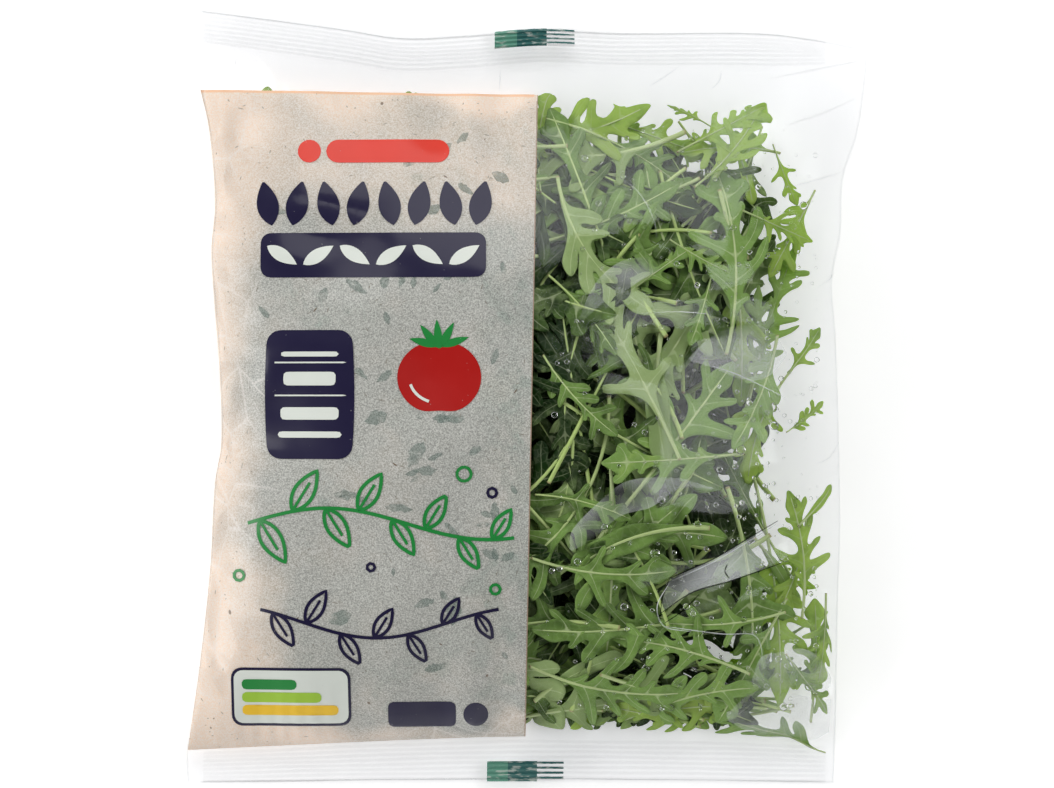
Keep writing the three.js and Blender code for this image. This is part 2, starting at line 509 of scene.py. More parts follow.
@dataclass(frozen=True)
class PaintedLeafShadow:
    """Painted shadow of a leaf that touches the printed film from within."""

    strength: float = 0.24

    def material(self, name: str) -> Material:
        """Returns the finish as a material."""
        g = Graph(name)
        grain = g.step(g.noise(2300, 2), 0.3, 0.7)
        tone = g.blend(0.4, Tone.GHOST.linear(), g.blend(grain, (0.12, 0.16, 0.14, 1), (0.5, 0.57, 0.53, 1)))
        share = g.times(g.step(g.noise(240, 2), 0.25, 0.55), self.strength)
        shade = g.add("BsdfPrincipled", {"Base Color": tone, "Roughness": 0.6, "Specular IOR Level": 0.1})
        return g.finish(g.mix(share, g.add("BsdfTransparent", {"Color": WHITE}), shade))


@dataclass(frozen=True)
class Specks:
    """Specks of one tone: their spacing in millimetres, their size against it, how many of them are there,
    their heading, how much longer than wide they are, and how strong they are."""

    spacing: float
    radius: float
    share: float
    turn: float
    stretch: float
    tone: Tone
    strength: float

    def over(self, g: Graph, colour: Socket) -> Socket:
        """Returns a colour with the specks on it."""
        cells = g.cells(self.spacing, g.stretched((self.stretch, 1, 1), self.turn))
        near = g.step(cells.outputs["Distance"], self.radius, self.radius * 0.6)
        drawn = g.add("SeparateColor", {0: cells.outputs["Color"]}).outputs[0]
        mask = g.times(near, g.step(drawn, 1 - self.share - 0.01, 1 - self.share + 0.01))
        return g.tinted(colour, mask, self.strength, self.tone)


@dataclass(frozen=True)
class PrintedFilm:
    """Film printed to look like recycled paper: fibres and specks. It is painted peach as painted backlight
    where nothing lies behind it, and carries the painted shadows of leaves that lie near it.
    """

    gloss: float = 0.4
    glow: float = 0.14
    crumple_size: float = 13.0
    specks: tuple[Specks, ...] = (
        Specks(1.9, 0.13, 0.3, 0.4, 4, Tone.PAPER_FIBRE, 0.5),
        Specks(2.2, 0.12, 0.3, 1.3, 5, Tone.PAPER_FIBRE, 0.55),
        Specks(2.0, 0.13, 0.3, 2.2, 4, Tone.PAPER_FIBRE, 0.5),
        Specks(2.3, 0.12, 0.3, 2.9, 5, Tone.PAPER_FIBRE, 0.5),
        Specks(5.0, 0.06, 0.35, 0.9, 4, Tone.PAPER_SPECK, 0.8),
        Specks(5.6, 0.06, 0.35, 2.5, 4, Tone.PAPER_SPECK, 0.8),
        Specks(11.0, 0.055, 0.45, 1.7, 1.6, Tone.PAPER_SPECK, 0.75),
    )

    def paper(self, g: Graph, grain: Socket) -> Socket:
        """Returns the paper's colour without its edges and creases. The marks are: backing, which is 0 where
        the paper is painted peach as painted backlight, and the painted shadow of leaves near the print.
        """
        backing, leaf_shadow, _ = g.marks()
        grey = g.math("ADD", backing, g.math("MULTIPLY_ADD", g.noise(60, 5), 0.7, -0.35), clamp=True)
        # grey where leaves lie behind the print, painted backlight peach where nothing does
        colour = g.blend(grey, Tone.PAPER_PEACH.linear(), Tone.PAPER_GREY.linear())
        # painted shadows of the leaves near the print, as soft patches and small scraps
        colour = g.tinted(colour, leaf_shadow, 0.26, Tone.GHOST)
        scraps = g.step(g.noise(125, 3), 0.6, 0.615)
        wisps = g.step(g.noise(210, 2, g.stretched((1, 2.4, 1), 0.8)), 0.66, 0.68)
        pressed = g.times(g.math("MAXIMUM", scraps, wisps), g.step(leaf_shadow, 0.25, 0.7))
        colour = g.tinted(colour, pressed, 0.22, Tone.GHOST)
        coarse = g.step(g.noise(1000, 2), 0.35, 0.65)
        colour = g.blend(0.4, colour, g.blend(grain, (0.1, 0.09, 0.08, 1), (0.95, 0.94, 0.92, 1)), "OVERLAY")
        colour = g.blend(0.1, colour, g.blend(coarse, (0.25, 0.24, 0.22, 1), (0.8, 0.79, 0.77, 1)), "OVERLAY")
        for specks in self.specks:
            colour = specks.over(g, colour)
        return colour

    def material(self, name: str) -> Material:
        """Returns the finish as a material. The marks are: backing (0 where it is painted backlight), the
        painted leaf shadow,
        1 on the side edge or -1 on the top, and how crumpled the film is."""
        g = Graph(name)
        _, _, edge = g.marks()
        crumple = g.last_mark()
        bent = g.stretched((1, 1.7, 1), 0.5)
        cells = g.cells(self.crumple_size, bent, "DISTANCE_TO_EDGE").outputs["Distance"]
        ridge_highlight = g.times(g.step(cells, 0.035, 0.0), crumple)
        grain = g.step(g.noise(2300, 2), 0.3, 0.7)
        colour = g.tinted(self.paper(g, grain), g.step(edge, 0.68, 0.75), 0.8, Tone.PAPER_EDGE)
        colour = g.tinted(colour, g.step(edge, -0.6, -0.7), 0.85, Tone.PAPER_TOP)
        # painted highlight along the crumpled film's ridges
        colour = g.blend(g.times(ridge_highlight, 0.4), colour, (0.95, 0.9, 0.86, 1))
        facets = g.bump(g.times(g.step(cells, 0.0, 0.5), crumple), 2.2)
        inputs = {"Base Color": colour, "Roughness": 0.5, "Specular IOR Level": 0.2,
                  "Coat Weight": self.gloss, "Coat Roughness": 0.16,
                  "Normal": g.bump(grain, 0.02, 0.4, facets)}
        paper = g.add("BsdfPrincipled", inputs)
        return g.finish(g.mix(self.glow, paper, g.add("BsdfTranslucent", {"Color": colour})))


@dataclass(frozen=True)
class PrintInk:
    """One flat colour of ink under the film's gloss, a little uneven."""

    tone: Tone
    unevenness: float = 0.12

    def material(self, name: str) -> Material:
        """Returns the finish as a material."""
        g = Graph(name)
        *parts, _ = self.tone.linear()
        worn = (*(min(1.0, part * 1.25 + 0.02) for part in parts), 1.0)
        colour = g.blend(g.times(g.noise(160, 4), 2 * self.unevenness), self.tone.linear(), worn)
        colour = g.tinted(colour, g.step(g.noise(900, 1), 0.78, 0.8), 0.3, Tone.PAPER_GREY)
        inputs = {"Base Color": colour, "Roughness": 0.5, "Specular IOR Level": 0.2,
                  "Coat Weight": 0.34, "Coat Roughness": 0.14}
        return g.finish(g.add("BsdfPrincipled", inputs))


@dataclass(frozen=True)
class MarkInk:
    """The teal ink of a registration mark: a light field, a dark one, and stripes that the ribs left bare."""

    dark_from: float
    stripes_from: float

    def material(self, name: str) -> Material:
        """Returns the finish as a material. The marks are: height up the mark."""
        g = Graph(name)
        across, _, _ = g.axes()
        height, _, _ = g.marks()
        dark = g.math("GREATER_THAN", across, self.dark_from * MM)
        patches = g.step(g.noise(900, 3, g.stretched((2.8, 1, 1))), 0.5, 0.64)
        colour = g.blend(dark, Tone.TEAL_LIGHT.linear(), Tone.TEAL.linear())
        colour = g.tinted(colour, patches, 0.55, Tone.PALE)
        waves = g.math("SINE", g.times(height, 26.0))
        gaps = g.math("GREATER_THAN", g.math("ADD", waves, g.times(g.noise(700, 2), 0.8)), 0.25)
        bare = g.times(g.math("GREATER_THAN", across, self.stripes_from * MM), gaps)
        ink = g.add("BsdfPrincipled", {"Base Color": colour, "Roughness": 0.35})
        return g.finish(g.mix(bare, ink, g.add("BsdfTransparent", {"Color": WHITE})))


@dataclass(frozen=True)
class LeafSkin:
    """A thin leaf: greener above, grey-green beneath, with pale veins, and it glows with light behind it. Its
    tone mark also paints light: dark painted shade on deep leaves and fresh painted backlight near the bag's
    edges.
    """

    glow: float = 0.13
    fresh_glow: float = 0.42
    vein_edge: float = 0.92
    net_spacing: float = 2.3
    net_bend: float = 0.0016

    def net(self, g: Graph) -> Socket:
        """Returns a mask of the fine net of side veins."""
        drift = g.add("TexNoise", {"Vector": g.place(), "Scale": 380.0, "Detail": 1.0}).outputs["Color"]
        bent = g.add("Mix", {0: self.net_bend, 4: g.place(), 5: drift}, data_type="VECTOR").outputs[1]
        return g.step(g.cells(self.net_spacing, bent, "DISTANCE_TO_EDGE").outputs["Distance"], 0.09, 0.02)

    def material(self, name: str) -> Material:
        """Returns the finish as a material. The marks are: vein, tone, upper side."""
        g = Graph(name)
        vein, tone, upper = g.marks()
        mottle = g.noise(170, 3)
        # the tone mark with mottle: random leaf colour, with painted shade and painted backlight in it
        age_and_light = g.math("ADD", tone, g.math("MULTIPLY_ADD", mottle, 0.7, -0.35), clamp=True)
        above = g.blend(g.step(age_and_light, 0.0, 0.6), Tone.LEAF_DARK.linear(), Tone.LEAF_MID.linear())
        above = g.blend(g.step(age_and_light, 0.6, 1.0), above, Tone.LEAF_FRESH.linear())
        beneath = g.blend(g.step(age_and_light, 0.75, -0.1), Tone.LEAF_UNDER.linear(), above)
        colour = g.tinted(g.blend(upper, beneath, above), self.net(g), 0.06, Tone.LEAF_VEIN)
        lines = g.times(g.step(vein, self.vein_edge, 0.995), g.step(tone, -0.4, 0.4))
        colour = g.tinted(colour, lines, 0.5, Tone.LEAF_VEIN)
        inputs = {"Base Color": colour, "Roughness": 0.46, "Specular IOR Level": 0.15,
                  "Normal": g.bump(mottle, 0.96, 0.6)}
        through = g.blend(0.6, colour, Tone.LEAF_GLOW.linear())
        share = g.math("MULTIPLY_ADD", g.step(tone, 0.55, 1.0), self.fresh_glow, self.glow)
        glow = g.add("BsdfTranslucent", {"Color": through})
        return g.finish(g.mix(share, g.add("BsdfPrincipled", inputs), glow))


@dataclass(frozen=True)
class StalkSkin:
    """A juicy pale stalk, brown where it was cut."""

    glow: float = 0.16

    def material(self, name: str) -> Material:
        """Returns the finish as a material. The marks are: along the stalk, tone, cut end."""
        g = Graph(name)
        along, tone, cut = g.marks()
        streaks = g.noise(500, 2)
        share = g.math("MULTIPLY_ADD", g.step(tone, 0.62, 0.1), 0.5, g.times(streaks, 0.2))
        colour = g.blend(share, Tone.STALK.linear(), Tone.LEAF_FRESH.linear())
        colour = g.tinted(colour, along, 0.3, Tone.LEAF_VEIN)
        # painted shade: the stalks of deep leaves go dark
        colour = g.tinted(colour, g.step(tone, 0.1, -0.5), 0.75, Tone.LEAF_DARK)
        colour = g.blend(cut, colour, Tone.STALK_CUT.linear())
        inputs = {"Base Color": colour, "Roughness": 0.38, "Normal": g.bump(streaks, 0.12, 0.5)}
        glow = g.add("BsdfTranslucent", {"Color": colour})
        return g.finish(g.mix(self.glow, g.add("BsdfPrincipled", inputs), glow))


@dataclass(frozen=True)
class WaterSkin:
    """Clear drops of water."""

    def material(self, name: str) -> Material:
        """Returns the finish as a material."""
        g = Graph(name)
        inputs = {"Base Color": WHITE, "Roughness": 0.02, "IOR": 1.33, "Transmission Weight": 1.0}
        return g.finish(g.add("BsdfPrincipled", inputs))


@dataclass(frozen=True)
class FloorFinish:
    """A plain pale floor with a barely uneven tone, lit from within like a studio's light table."""

    glow: float = 0.36

    def material(self, name: str) -> Material:
        """Returns the finish as a material."""
        g = Graph(name)
        colour = g.blend(g.times(g.noise(1.5, 1), 0.02), Tone.FLOOR.linear(), (0.85, 0.85, 0.85, 1))
        inputs = {"Base Color": colour, "Roughness": 0.7,
                  "Emission Color": colour, "Emission Strength": self.glow}
        return g.finish(g.add("BsdfPrincipled", inputs))


# The shape of the bag


@dataclass(frozen=True)
class Fold:
    """A fold of the front. Its height is below zero for a valley, and a sharp one comes to an edge."""

    start: Point
    end: Point
    width: float
    height: float
    sharp: bool = False

    def relief(self, x: Array, y: Array) -> Array:
        """Returns the height that the fold adds at each place."""
        off_x, off_y = x - self.start[0], y - self.start[1]
        run_x, run_y = self.end[0] - self.start[0], self.end[1] - self.start[1]
        nearest = np.clip((off_x * run_x + off_y * run_y) / (run_x**2 + run_y**2), 0, 1)
        off = np.hypot(off_x - nearest * run_x, off_y - nearest * run_y) / self.width
        return self.height * np.exp(-off if self.sharp else -off**2)


@dataclass
class BagShape:
    """The outside of the full bag: its outline, and the height of its front and back at any place."""

    half_length: float = 127.7
    film_half: float = 0.25
    rest_height: float = 21.0
    crown: float = 29.0
    base_spread: float = 1.15
    seal_depth: float = 12.4
    seal_rise: float = 6.0
    corner_tuck: float = 4.9
    seam_width: float = 14.0
    seam_height: float = 0.8
    seam_bevel: float = 0.9
    lower_level: float = -113.0
    upper_level: float = 110.0
    left: Line = Line(
        (-127.7, -111.1), (-117, -111.6), (-108, -110.1), (-85, -106.4), (-55, -102.9), (-27, -101.2),
        (-15, -99.2), (8, -99.8), (31, -101.6), (47, -102.6), (62, -101.5), (86, -103.6), (101, -107.1),
        (113, -109.7), (127.7, -108.7),
    )
    right: Line = Line(
        (-127.7, 100.6), (-117, 101.1), (-70, 101.3), (-39, 102), (20, 100.6), (38, 99.5), (54, 102.4),
        (71, 103.2), (86, 108.1), (101, 110.7), (111, 111.6), (121, 110.4),
    )
    upper_cut: Line = Line(
        (-110, 127.7), (-90, 125.2), (-60, 121.2), (-41, 118.3), (-20, 119), (5, 120.8), (30, 119.9),
        (76, 119.9), (95, 117.6), (110, 114.7),
    )
    lower_cut: Line = Line((-110, -127.7), (0, -126.8), (100, -127.7))
    lower_edge: Line = Line((-110, -116), (-41, -112.8), (0, -111.6), (60, -112.2), (100, -113.8))
    print_top: Line = Line((-106, 100.1), (-60, 99.3), (0, 98.3), (20, 97.8))
    print_side: Line = Line((-127.7, -0.6), (98, 3.7))
    backed_from: Line = Line(
        (-112, -62), (-104, -72), (-92, -84), (-60, -86.5), (-46, -93), (-20, -92), (33, -93), (60, -89),
        (100, -84),
    )  # how far left leaves lie behind the print, by height
    swells: tuple[tuple[float, float, float, float], ...] = (
        (63, 0.62, 1.2, 0.4), (47, 1.95, 0.8, 2.2), (34, 2.8, 0.35, 4.1), (26, 1.2, 0.15, 5.3),
    )  # wavelength, heading, height and shift of each broad swell of the front
    pleat_pitch: float = 23.0
    pleat_height: float = 1.3
    pleat_reach: float = 11.0
    folds: tuple[Fold, ...] = (
        Fold((-99, -30), (-90, -8), 3.4, -2.6), Fold((-90, -8), (-84, 8), 5, 1.4),
        Fold((-101, -56), (-93, -49), 3, -1.6), Fold((-98, 63), (-68, 52), 5, -1.5),
        Fold((-94, -74), (-70, -84), 5, -1.2), Fold((40, -62), (78, -49), 4.2, -2.2),
        Fold((33, -78), (58, -64), 4.2, 1.8), Fold((30, -73), (72, -82), 5, -1.4),
        Fold((70, 97), (103, 108), 6, -1.2), Fold((88, 44), (102, 38), 4, -1.8),
        Fold((-30, -104), (-6, -110), 3.4, 1.2), Fold((20, 40), (72, 26), 7, -1.3),
        Fold((24, 8), (80, -18), 8, 1.2),
    )
    creases: tuple[Fold, ...] = (
        Fold((41, -68), (80, -48), 1.6, 0.9, True), Fold((45, -76), (76, -60), 1.6, -0.9, True),
        Fold((41, -68), (39, -82), 1.4, 0.7, True), Fold((45, -76), (40, -86), 1.6, -0.7, True),
        Fold((40, -86), (70, -90), 1.8, 0.5, True), Fold((-101, -22), (-92, -14), 1.2, -0.8, True),
        Fold((-98, -30), (-89, -24), 1.2, 0.6, True), Fold((-14, -108), (0, -112), 1.3, 0.7, True),
        Fold((-10, -104), (0, -110), 1.3, -0.6, True), Fold((88, 85), (110, 104), 1.8, 0.7, True),
        Fold((80, 92), (106, 106), 2.0, -0.6, True), Fold((-96, 70), (-52, 60), 2.2, -0.5, True),
        Fold((-90, -60), (-50, -66), 2.2, 0.5, True), Fold((18, 52), (60, 44), 2.0, 0.5, True),
        Fold((25, 24), (82, 40), 2.2, -0.6, True), Fold((10, -20), (50, -34), 2.0, 0.5, True),
    )

    def upper_edge(self, x: Array) -> Array:
        """Returns the inner edge of the upper seal, which turns away at the right corner."""
        return self.upper_cut(x) - self.seal_depth + self.corner_tuck * smoothstep(75, 110, x)

    def fullness(self, along: Array) -> Array:
        """Returns how full the bag is, from 0 at the seals to 1: the leaves settle low."""
        return (1 - (1 - along) ** 6) ** 0.8 * (1 - along**3.4) ** 0.85

    def bulge(self, across: Array, roundness: float) -> Array:
        """Returns the bulge of a cross-section: 0 at both side folds and 1 in the middle."""
        return np.maximum(1 - np.abs(across) ** 2.4, 0) ** roundness

    def relief(self, x: Array, y: Array) -> Array:
        """Returns the height that swells, folds and wrinkles add to the full front."""
        total = 0.12 * ripple(x, y, 36, 11) + 0.05 * ripple(x, y, 17, 12) + 0.012 * ripple(x, y, 7, 13)
        for length, heading, height, shift in self.swells:
            place = x * math.cos(heading) + y * math.sin(heading)
            total = total + height * np.sin(2 * math.pi * place / length + shift)
        for fold in (*self.folds, *self.creases):
            total = total + fold.relief(x, y)
        return total

    def pleats(self, x: Array, distance: Array) -> Array:
        """Returns the height of the pleats that fan out of the end seals."""
        broad = distance / self.pleat_reach * np.exp(1 - distance / self.pleat_reach)
        wave = np.cos(2 * math.pi * x / self.pleat_pitch + 1.7 * np.sin(x / 19))
        fine_reach = 0.45 * self.pleat_reach
        fine = distance / fine_reach * np.exp(1 - distance / fine_reach)
        fine_wave = np.cos(2 * math.pi * x / 6.1 + 2.6 * np.sin(x / 11 + 1)) * (0.5 + 0.5 * np.sin(x / 17))
        return self.pleat_height * broad * wave + 0.34 * fine * fine_wave

    def heights(self, x: Array, y: Array) -> tuple[Array, Array]:
        """Returns the height of the front film and of the back film at each place."""
        low, high = self.lower_edge(x), self.upper_edge(x)
        along = np.clip((y - low) / (high - low), 0, 1)
        level = lerp(self.lower_level, self.upper_level, along)
        left, right = self.left(level), self.right(level)
        across = np.clip(2 * (x - left) / (right - left) - 1, -1, 1)
        full = self.fullness(along)
        middle = self.seal_rise + (self.rest_height - self.seal_rise) * full
        pouch = (along > 0) & (along < 1)
        side_fade = self.bulge(across, 0.5)
        distance = np.maximum(np.minimum(y - low, high - y), 0)
        relief = full * side_fade * self.relief(x, y) + pouch * side_fade * self.pleats(x, distance)
        puckers = np.sin(2 * math.pi * y / 15 + 2 * np.sin(y / 23)) * (1 - np.abs(across)) * 14
        relief = relief + full * 0.6 * puckers * np.exp(-(1 - np.abs(across)) * 9)
        front = middle + self.film_half + self.crown * full * self.bulge(across, 0.56) + relief
        spread = self.base_spread * self.rest_height * full * self.bulge(across, 0.6)
        pressed = middle - self.film_half - spread
        half = self.seam_width / 2
        seam = self.seam_height * (1 - smoothstep(half, half + self.seam_bevel, np.abs(x)))
        back = np.maximum(pressed - pouch * seam, 0)
        return np.maximum(front, back + 2 * self.film_half), back


class HeightMap:
    step = 1.0
    corner = (-114.0, -130.0)
    count = (229, 261)

    def __init__(self, shape: BagShape) -> None:
        """Samples the shape."""
        x = self.corner[0] + self.step * np.arange(self.count[0])
        y = self.corner[1] + self.step * np.arange(self.count[1])
        grid_x, grid_y = np.meshgrid(x, y, indexing="ij")
        self.front, self.back = shape.heights(grid_x, grid_y)

    def cell(self, x: Array, y: Array) -> tuple[Array, Array]:
        """Returns places as steps across and along the grid."""
        return (x - self.corner[0]) / self.step, (y - self.corner[1]) / self.step

    def sample(self, values: Array, x: Array, y: Array) -> Array:
        """Returns the values of a grid at any places, read between its points."""
        u, v = (np.clip(at, 0, count - 1.001) for at, count in zip(self.cell(x, y), self.count))
        i, j = u.astype(int), v.astype(int)
        fu, fv = u - i, v - j
        low = lerp(values[i, j], values[i + 1, j], fu)
        return lerp(low, lerp(values[i, j + 1], values[i + 1, j + 1], fu), fv)


# The film


@dataclass
class FilmBag:
    """The bag's film: one closed tube of clear film, sealed at both ends, and the print on its left half."""

    shape: BagShape
    side_columns: int = 105
    side_evenness: float = 0.45
    seal_rows: int = 36
    head_rows: int = 9
    pouch_rows: int = 116
    rib_count: int = 9
    rib_height: float = 0.28
    tooth_depth: float = 0.35
    print_lift: float = 0.07
    print_thickness: float = 0.04
    mark_lift: float = 0.08
    mark_rows: tuple[int, int] = (1, 17)
    mark_sides: tuple[Span, Span] = ((-14.1, 12.5), (-11.2, 15.8))
    front: Array = field(init=False)
    back: Array = field(init=False)

    def __post_init__(self) -> None:
        """Works out the points of the front and the back, by row and column."""
        columns = self.columns()
        rows = []
        shape = self.shape
        bands = (
            (shape.lower_cut, shape.lower_edge, -shape.half_length, shape.lower_level, self.seal_rows, 1.0),
            (shape.lower_edge, shape.print_top, shape.lower_level, 99.0, self.pouch_rows, 1.6),
            (shape.print_top, shape.upper_edge, 99.0, shape.upper_level, self.head_rows, 1.0),
            (shape.upper_edge, shape.upper_cut, shape.upper_level, 121.0, self.seal_rows, 1.0),
        )
        for number, (low, high, low_level, high_level, count, crowding) in enumerate(bands):
            sealed = number in (0, len(bands) - 1)
            for i in range(count + (number == len(bands) - 1)):
                share = lerp(i / count, (i / count) ** crowding, 0.5)
                x = self.across(columns, lerp(low_level, high_level, share))
                y = lerp(low(x), high(x), share)
                rib = self.rib_height * math.sin(2 * math.pi * self.rib_count * share) if sealed else 0.0
                rows.append(np.stack([x, y, np.full_like(x, rib)], 1))
        grid = np.array(rows)
        teeth = self.tooth_depth * (np.arange(grid.shape[1]) % 2)
        grid[0, :, 1] += teeth
        grid[-1, :, 1] -= teeth
        front, back = shape.heights(grid[..., 0], grid[..., 1])
        self.front, self.back = grid.copy(), grid.copy()
        self.front[..., 2] += front
        self.back[..., 2] += back
        self.back[..., 2] = np.maximum(self.back[..., 2], 0)

    def columns(self) -> Array:
        """Returns the columns, from -1 at the left fold, 0 at the print's edge to 1 at the right fold."""
        share = np.arange(self.side_columns + 1) / self.side_columns
        half = lerp(np.sin(share * math.pi / 2), share, self.side_evenness)
        return np.concatenate([-half[::-1], half[1:]])

    def across(self, columns: Array, level: float) -> Array:
        """Returns the columns' places across the bag at a level."""
        middle = self.shape.print_side(level)
        side = np.where(columns < 0, self.shape.left(level), self.shape.right(level))
        return lerp(middle, side, np.abs(columns))

    def film_mesh(self) -> bpy.types.Mesh:
        """Returns the closed tube of film."""
        return closed_sheet("clear_film", self.front, self.back)

    def print_points(self) -> Array:
        """Returns the printed sheet's points: from its right edge round the left fold to the back seam."""
        first, last = self.seal_rows, self.seal_rows + self.pouch_rows
        edge = self.side_columns
        front = self.front[first:last + 1, edge::-1]
        back = self.back[first:last + 1, :edge + 1]
        return np.concatenate([front, back], 1)

    def mark_points(self, upper: bool) -> Array:
        """Returns the points under a registration mark on the upper or the lower seal."""
        rows = self.front.shape[0]
        first, last = self.mark_rows
        span = slice(rows - 1 - last, rows - first) if upper else slice(first, last + 1)
        left, right = self.mark_sides[upper]
        x = self.front[rows - 1 if upper else 0, :, 0]
        inside = np.flatnonzero((x > left) & (x < right))
        return self.front[span, inside[0]:inside[-1] + 1]

    @staticmethod
    def outward(points: Array) -> Array:
        """Returns the unit normals of a grid of points that starts on the front."""
        down = np.gradient(points, axis=0)
        along = np.gradient(points, axis=1)
        normal = np.cross(down, along)
        normal *= np.sign(normal[:, 0, 2].mean())
        return normal / np.maximum(np.linalg.norm(normal, axis=2, keepdims=True), 1e-9)

    def moved(self, points: Array, by: float) -> Array:
        """Returns a grid of points moved out from the film, or in where the way is below zero."""
        moved = points + self.outward(points) * by
        moved[..., 2] = np.maximum(moved[..., 2], 0)
        return moved

    def printed(self, name: str, points: Array, marks: Array) -> bpy.types.Mesh:
        """Returns a thin closed sheet whose outer face goes through a grid of points, with its marks."""
        return closed_sheet(name, points, self.moved(points, -self.print_thickness), marks)


# The print


def placed(outline: Array, centre: Point, turn: float = 0.0) -> Array:
    """Returns an outline turned by some degrees about its own middle, which is then put at a place."""
    angle = math.radians(turn)
    turned = outline @ np.array([[math.cos(angle), math.sin(angle)], [-math.sin(angle), math.cos(angle)]])
    return turned + np.array(centre)


def rounded_box(width: float, height: float, radius: float, bow: float = 0.0) -> Array:
    """Returns the outline of a box with round corners, its sides bowed out."""
    corners = []
    for quarter, (sx, sy) in enumerate(((1, 1), (-1, 1), (-1, -1), (1, -1))):
        angles = np.radians(np.linspace(90 * quarter, 90 * quarter + 90, 7))
        middle = np.array([sx * (width / 2 - radius), sy * (height / 2 - radius)])
        corners.append(middle + radius * pairs(np.cos(angles), np.sin(angles)))
    outline = evenly(np.concatenate(corners + [corners[0][:1]]), 0.9)
    outline[:, 0] *= 1 + bow * (1 - (2 * outline[:, 1] / height) ** 2)
    return outline


def oval(width: float, height: float) -> Array:
    """Returns the outline of an oval."""
    angles = np.linspace(0, 2 * math.pi, max(20, int(math.pi * max(width, height))))
    return pairs(width / 2 * np.cos(angles), height / 2 * np.sin(angles))


def leaf_outline(length: float, width: float) -> Array:
    """Returns the outline of a pointed leaf that lies along X."""
    share = np.linspace(0, 1, max(14, int(length)))
    upper = pairs((share - 0.5) * length, width / 2 * np.sin(math.pi * share**0.85) ** 0.9)
    return np.concatenate([upper, upper[-2::-1] * [1, -1]])


@dataclass
class PrintPlate:
    """Thin shapes of one finish, laid on the film at some height."""

    name: str
    finish: PrintInk | FilmLine | PaintedLeafShadow
    surface: Callable[[Array, Array], Array]
    lift: float
    slot: Slot = Slot.INK
    thickness: float = 0.05
    cell: float = 1.1
    weld: float = 0.004
    grids: list[Array] = field(default_factory=list)

    def fill(self, outline: Array) -> None:
        """Adds a filled shape, in rings from its middle to its outline."""
        outline = evenly(outline, self.cell)
        middle = (outline.max(0) + outline.min(0)) / 2
        reach = np.linalg.norm(outline - middle, axis=1).max()
        rings = np.linspace(0, 1, max(2, int(reach / self.cell) + 1))[:, None, None]
        self.grids.append(middle + rings * (outline - middle))

    def stroke(self, path: Array, width: float, taper: float = 0.0) -> None:
        """Adds a line along a path, of even width or thinner by some share at its ends."""
        path = evenly(path, self.cell)
        along = np.gradient(path, axis=0)
        if np.allclose(path[0], path[-1]):
            along[0] = along[-1] = path[1] - path[-2]
        along /= np.linalg.norm(along, axis=1, keepdims=True)
        share = np.linspace(0, 1, len(path))[:, None]
        side = pairs(-along[:, 1], along[:, 0]) * width / 2 * (1 - taper * np.abs(2 * share - 1) ** 3)
        self.grids.append(np.stack([path - side, path, path + side]))

    def ribbon(self, first: Array, second: Array, rows: int = 8) -> None:
        """Fills the space between two paths of as many points."""
        self.grids.append(lerp(first, second, np.linspace(0, 1, rows)[:, None, None]))

    def piece(self) -> bpy.types.Object:
        """Makes the plate's piece."""
        plate = bmesh.new()
        for grid in self.grids:
            height = self.surface(grid[..., 0], grid[..., 1]) + self.lift
            sheet = grid_sheet(np.concatenate([grid, height[..., None]], 2))
            bmesh.ops.remove_doubles(sheet, verts=sheet.verts[:], dist=self.weld)
            bmesh.ops.recalc_face_normals(sheet, faces=sheet.faces[:])
            thicken(sheet, -self.thickness)
            mesh = bpy.data.meshes.new("motif")
            sheet.to_mesh(mesh)
            sheet.free()
            plate.from_mesh(mesh)
            bpy.data.meshes.remove(mesh)
        return add_piece(to_mesh(self.name, plate), self.finish.material(self.name))


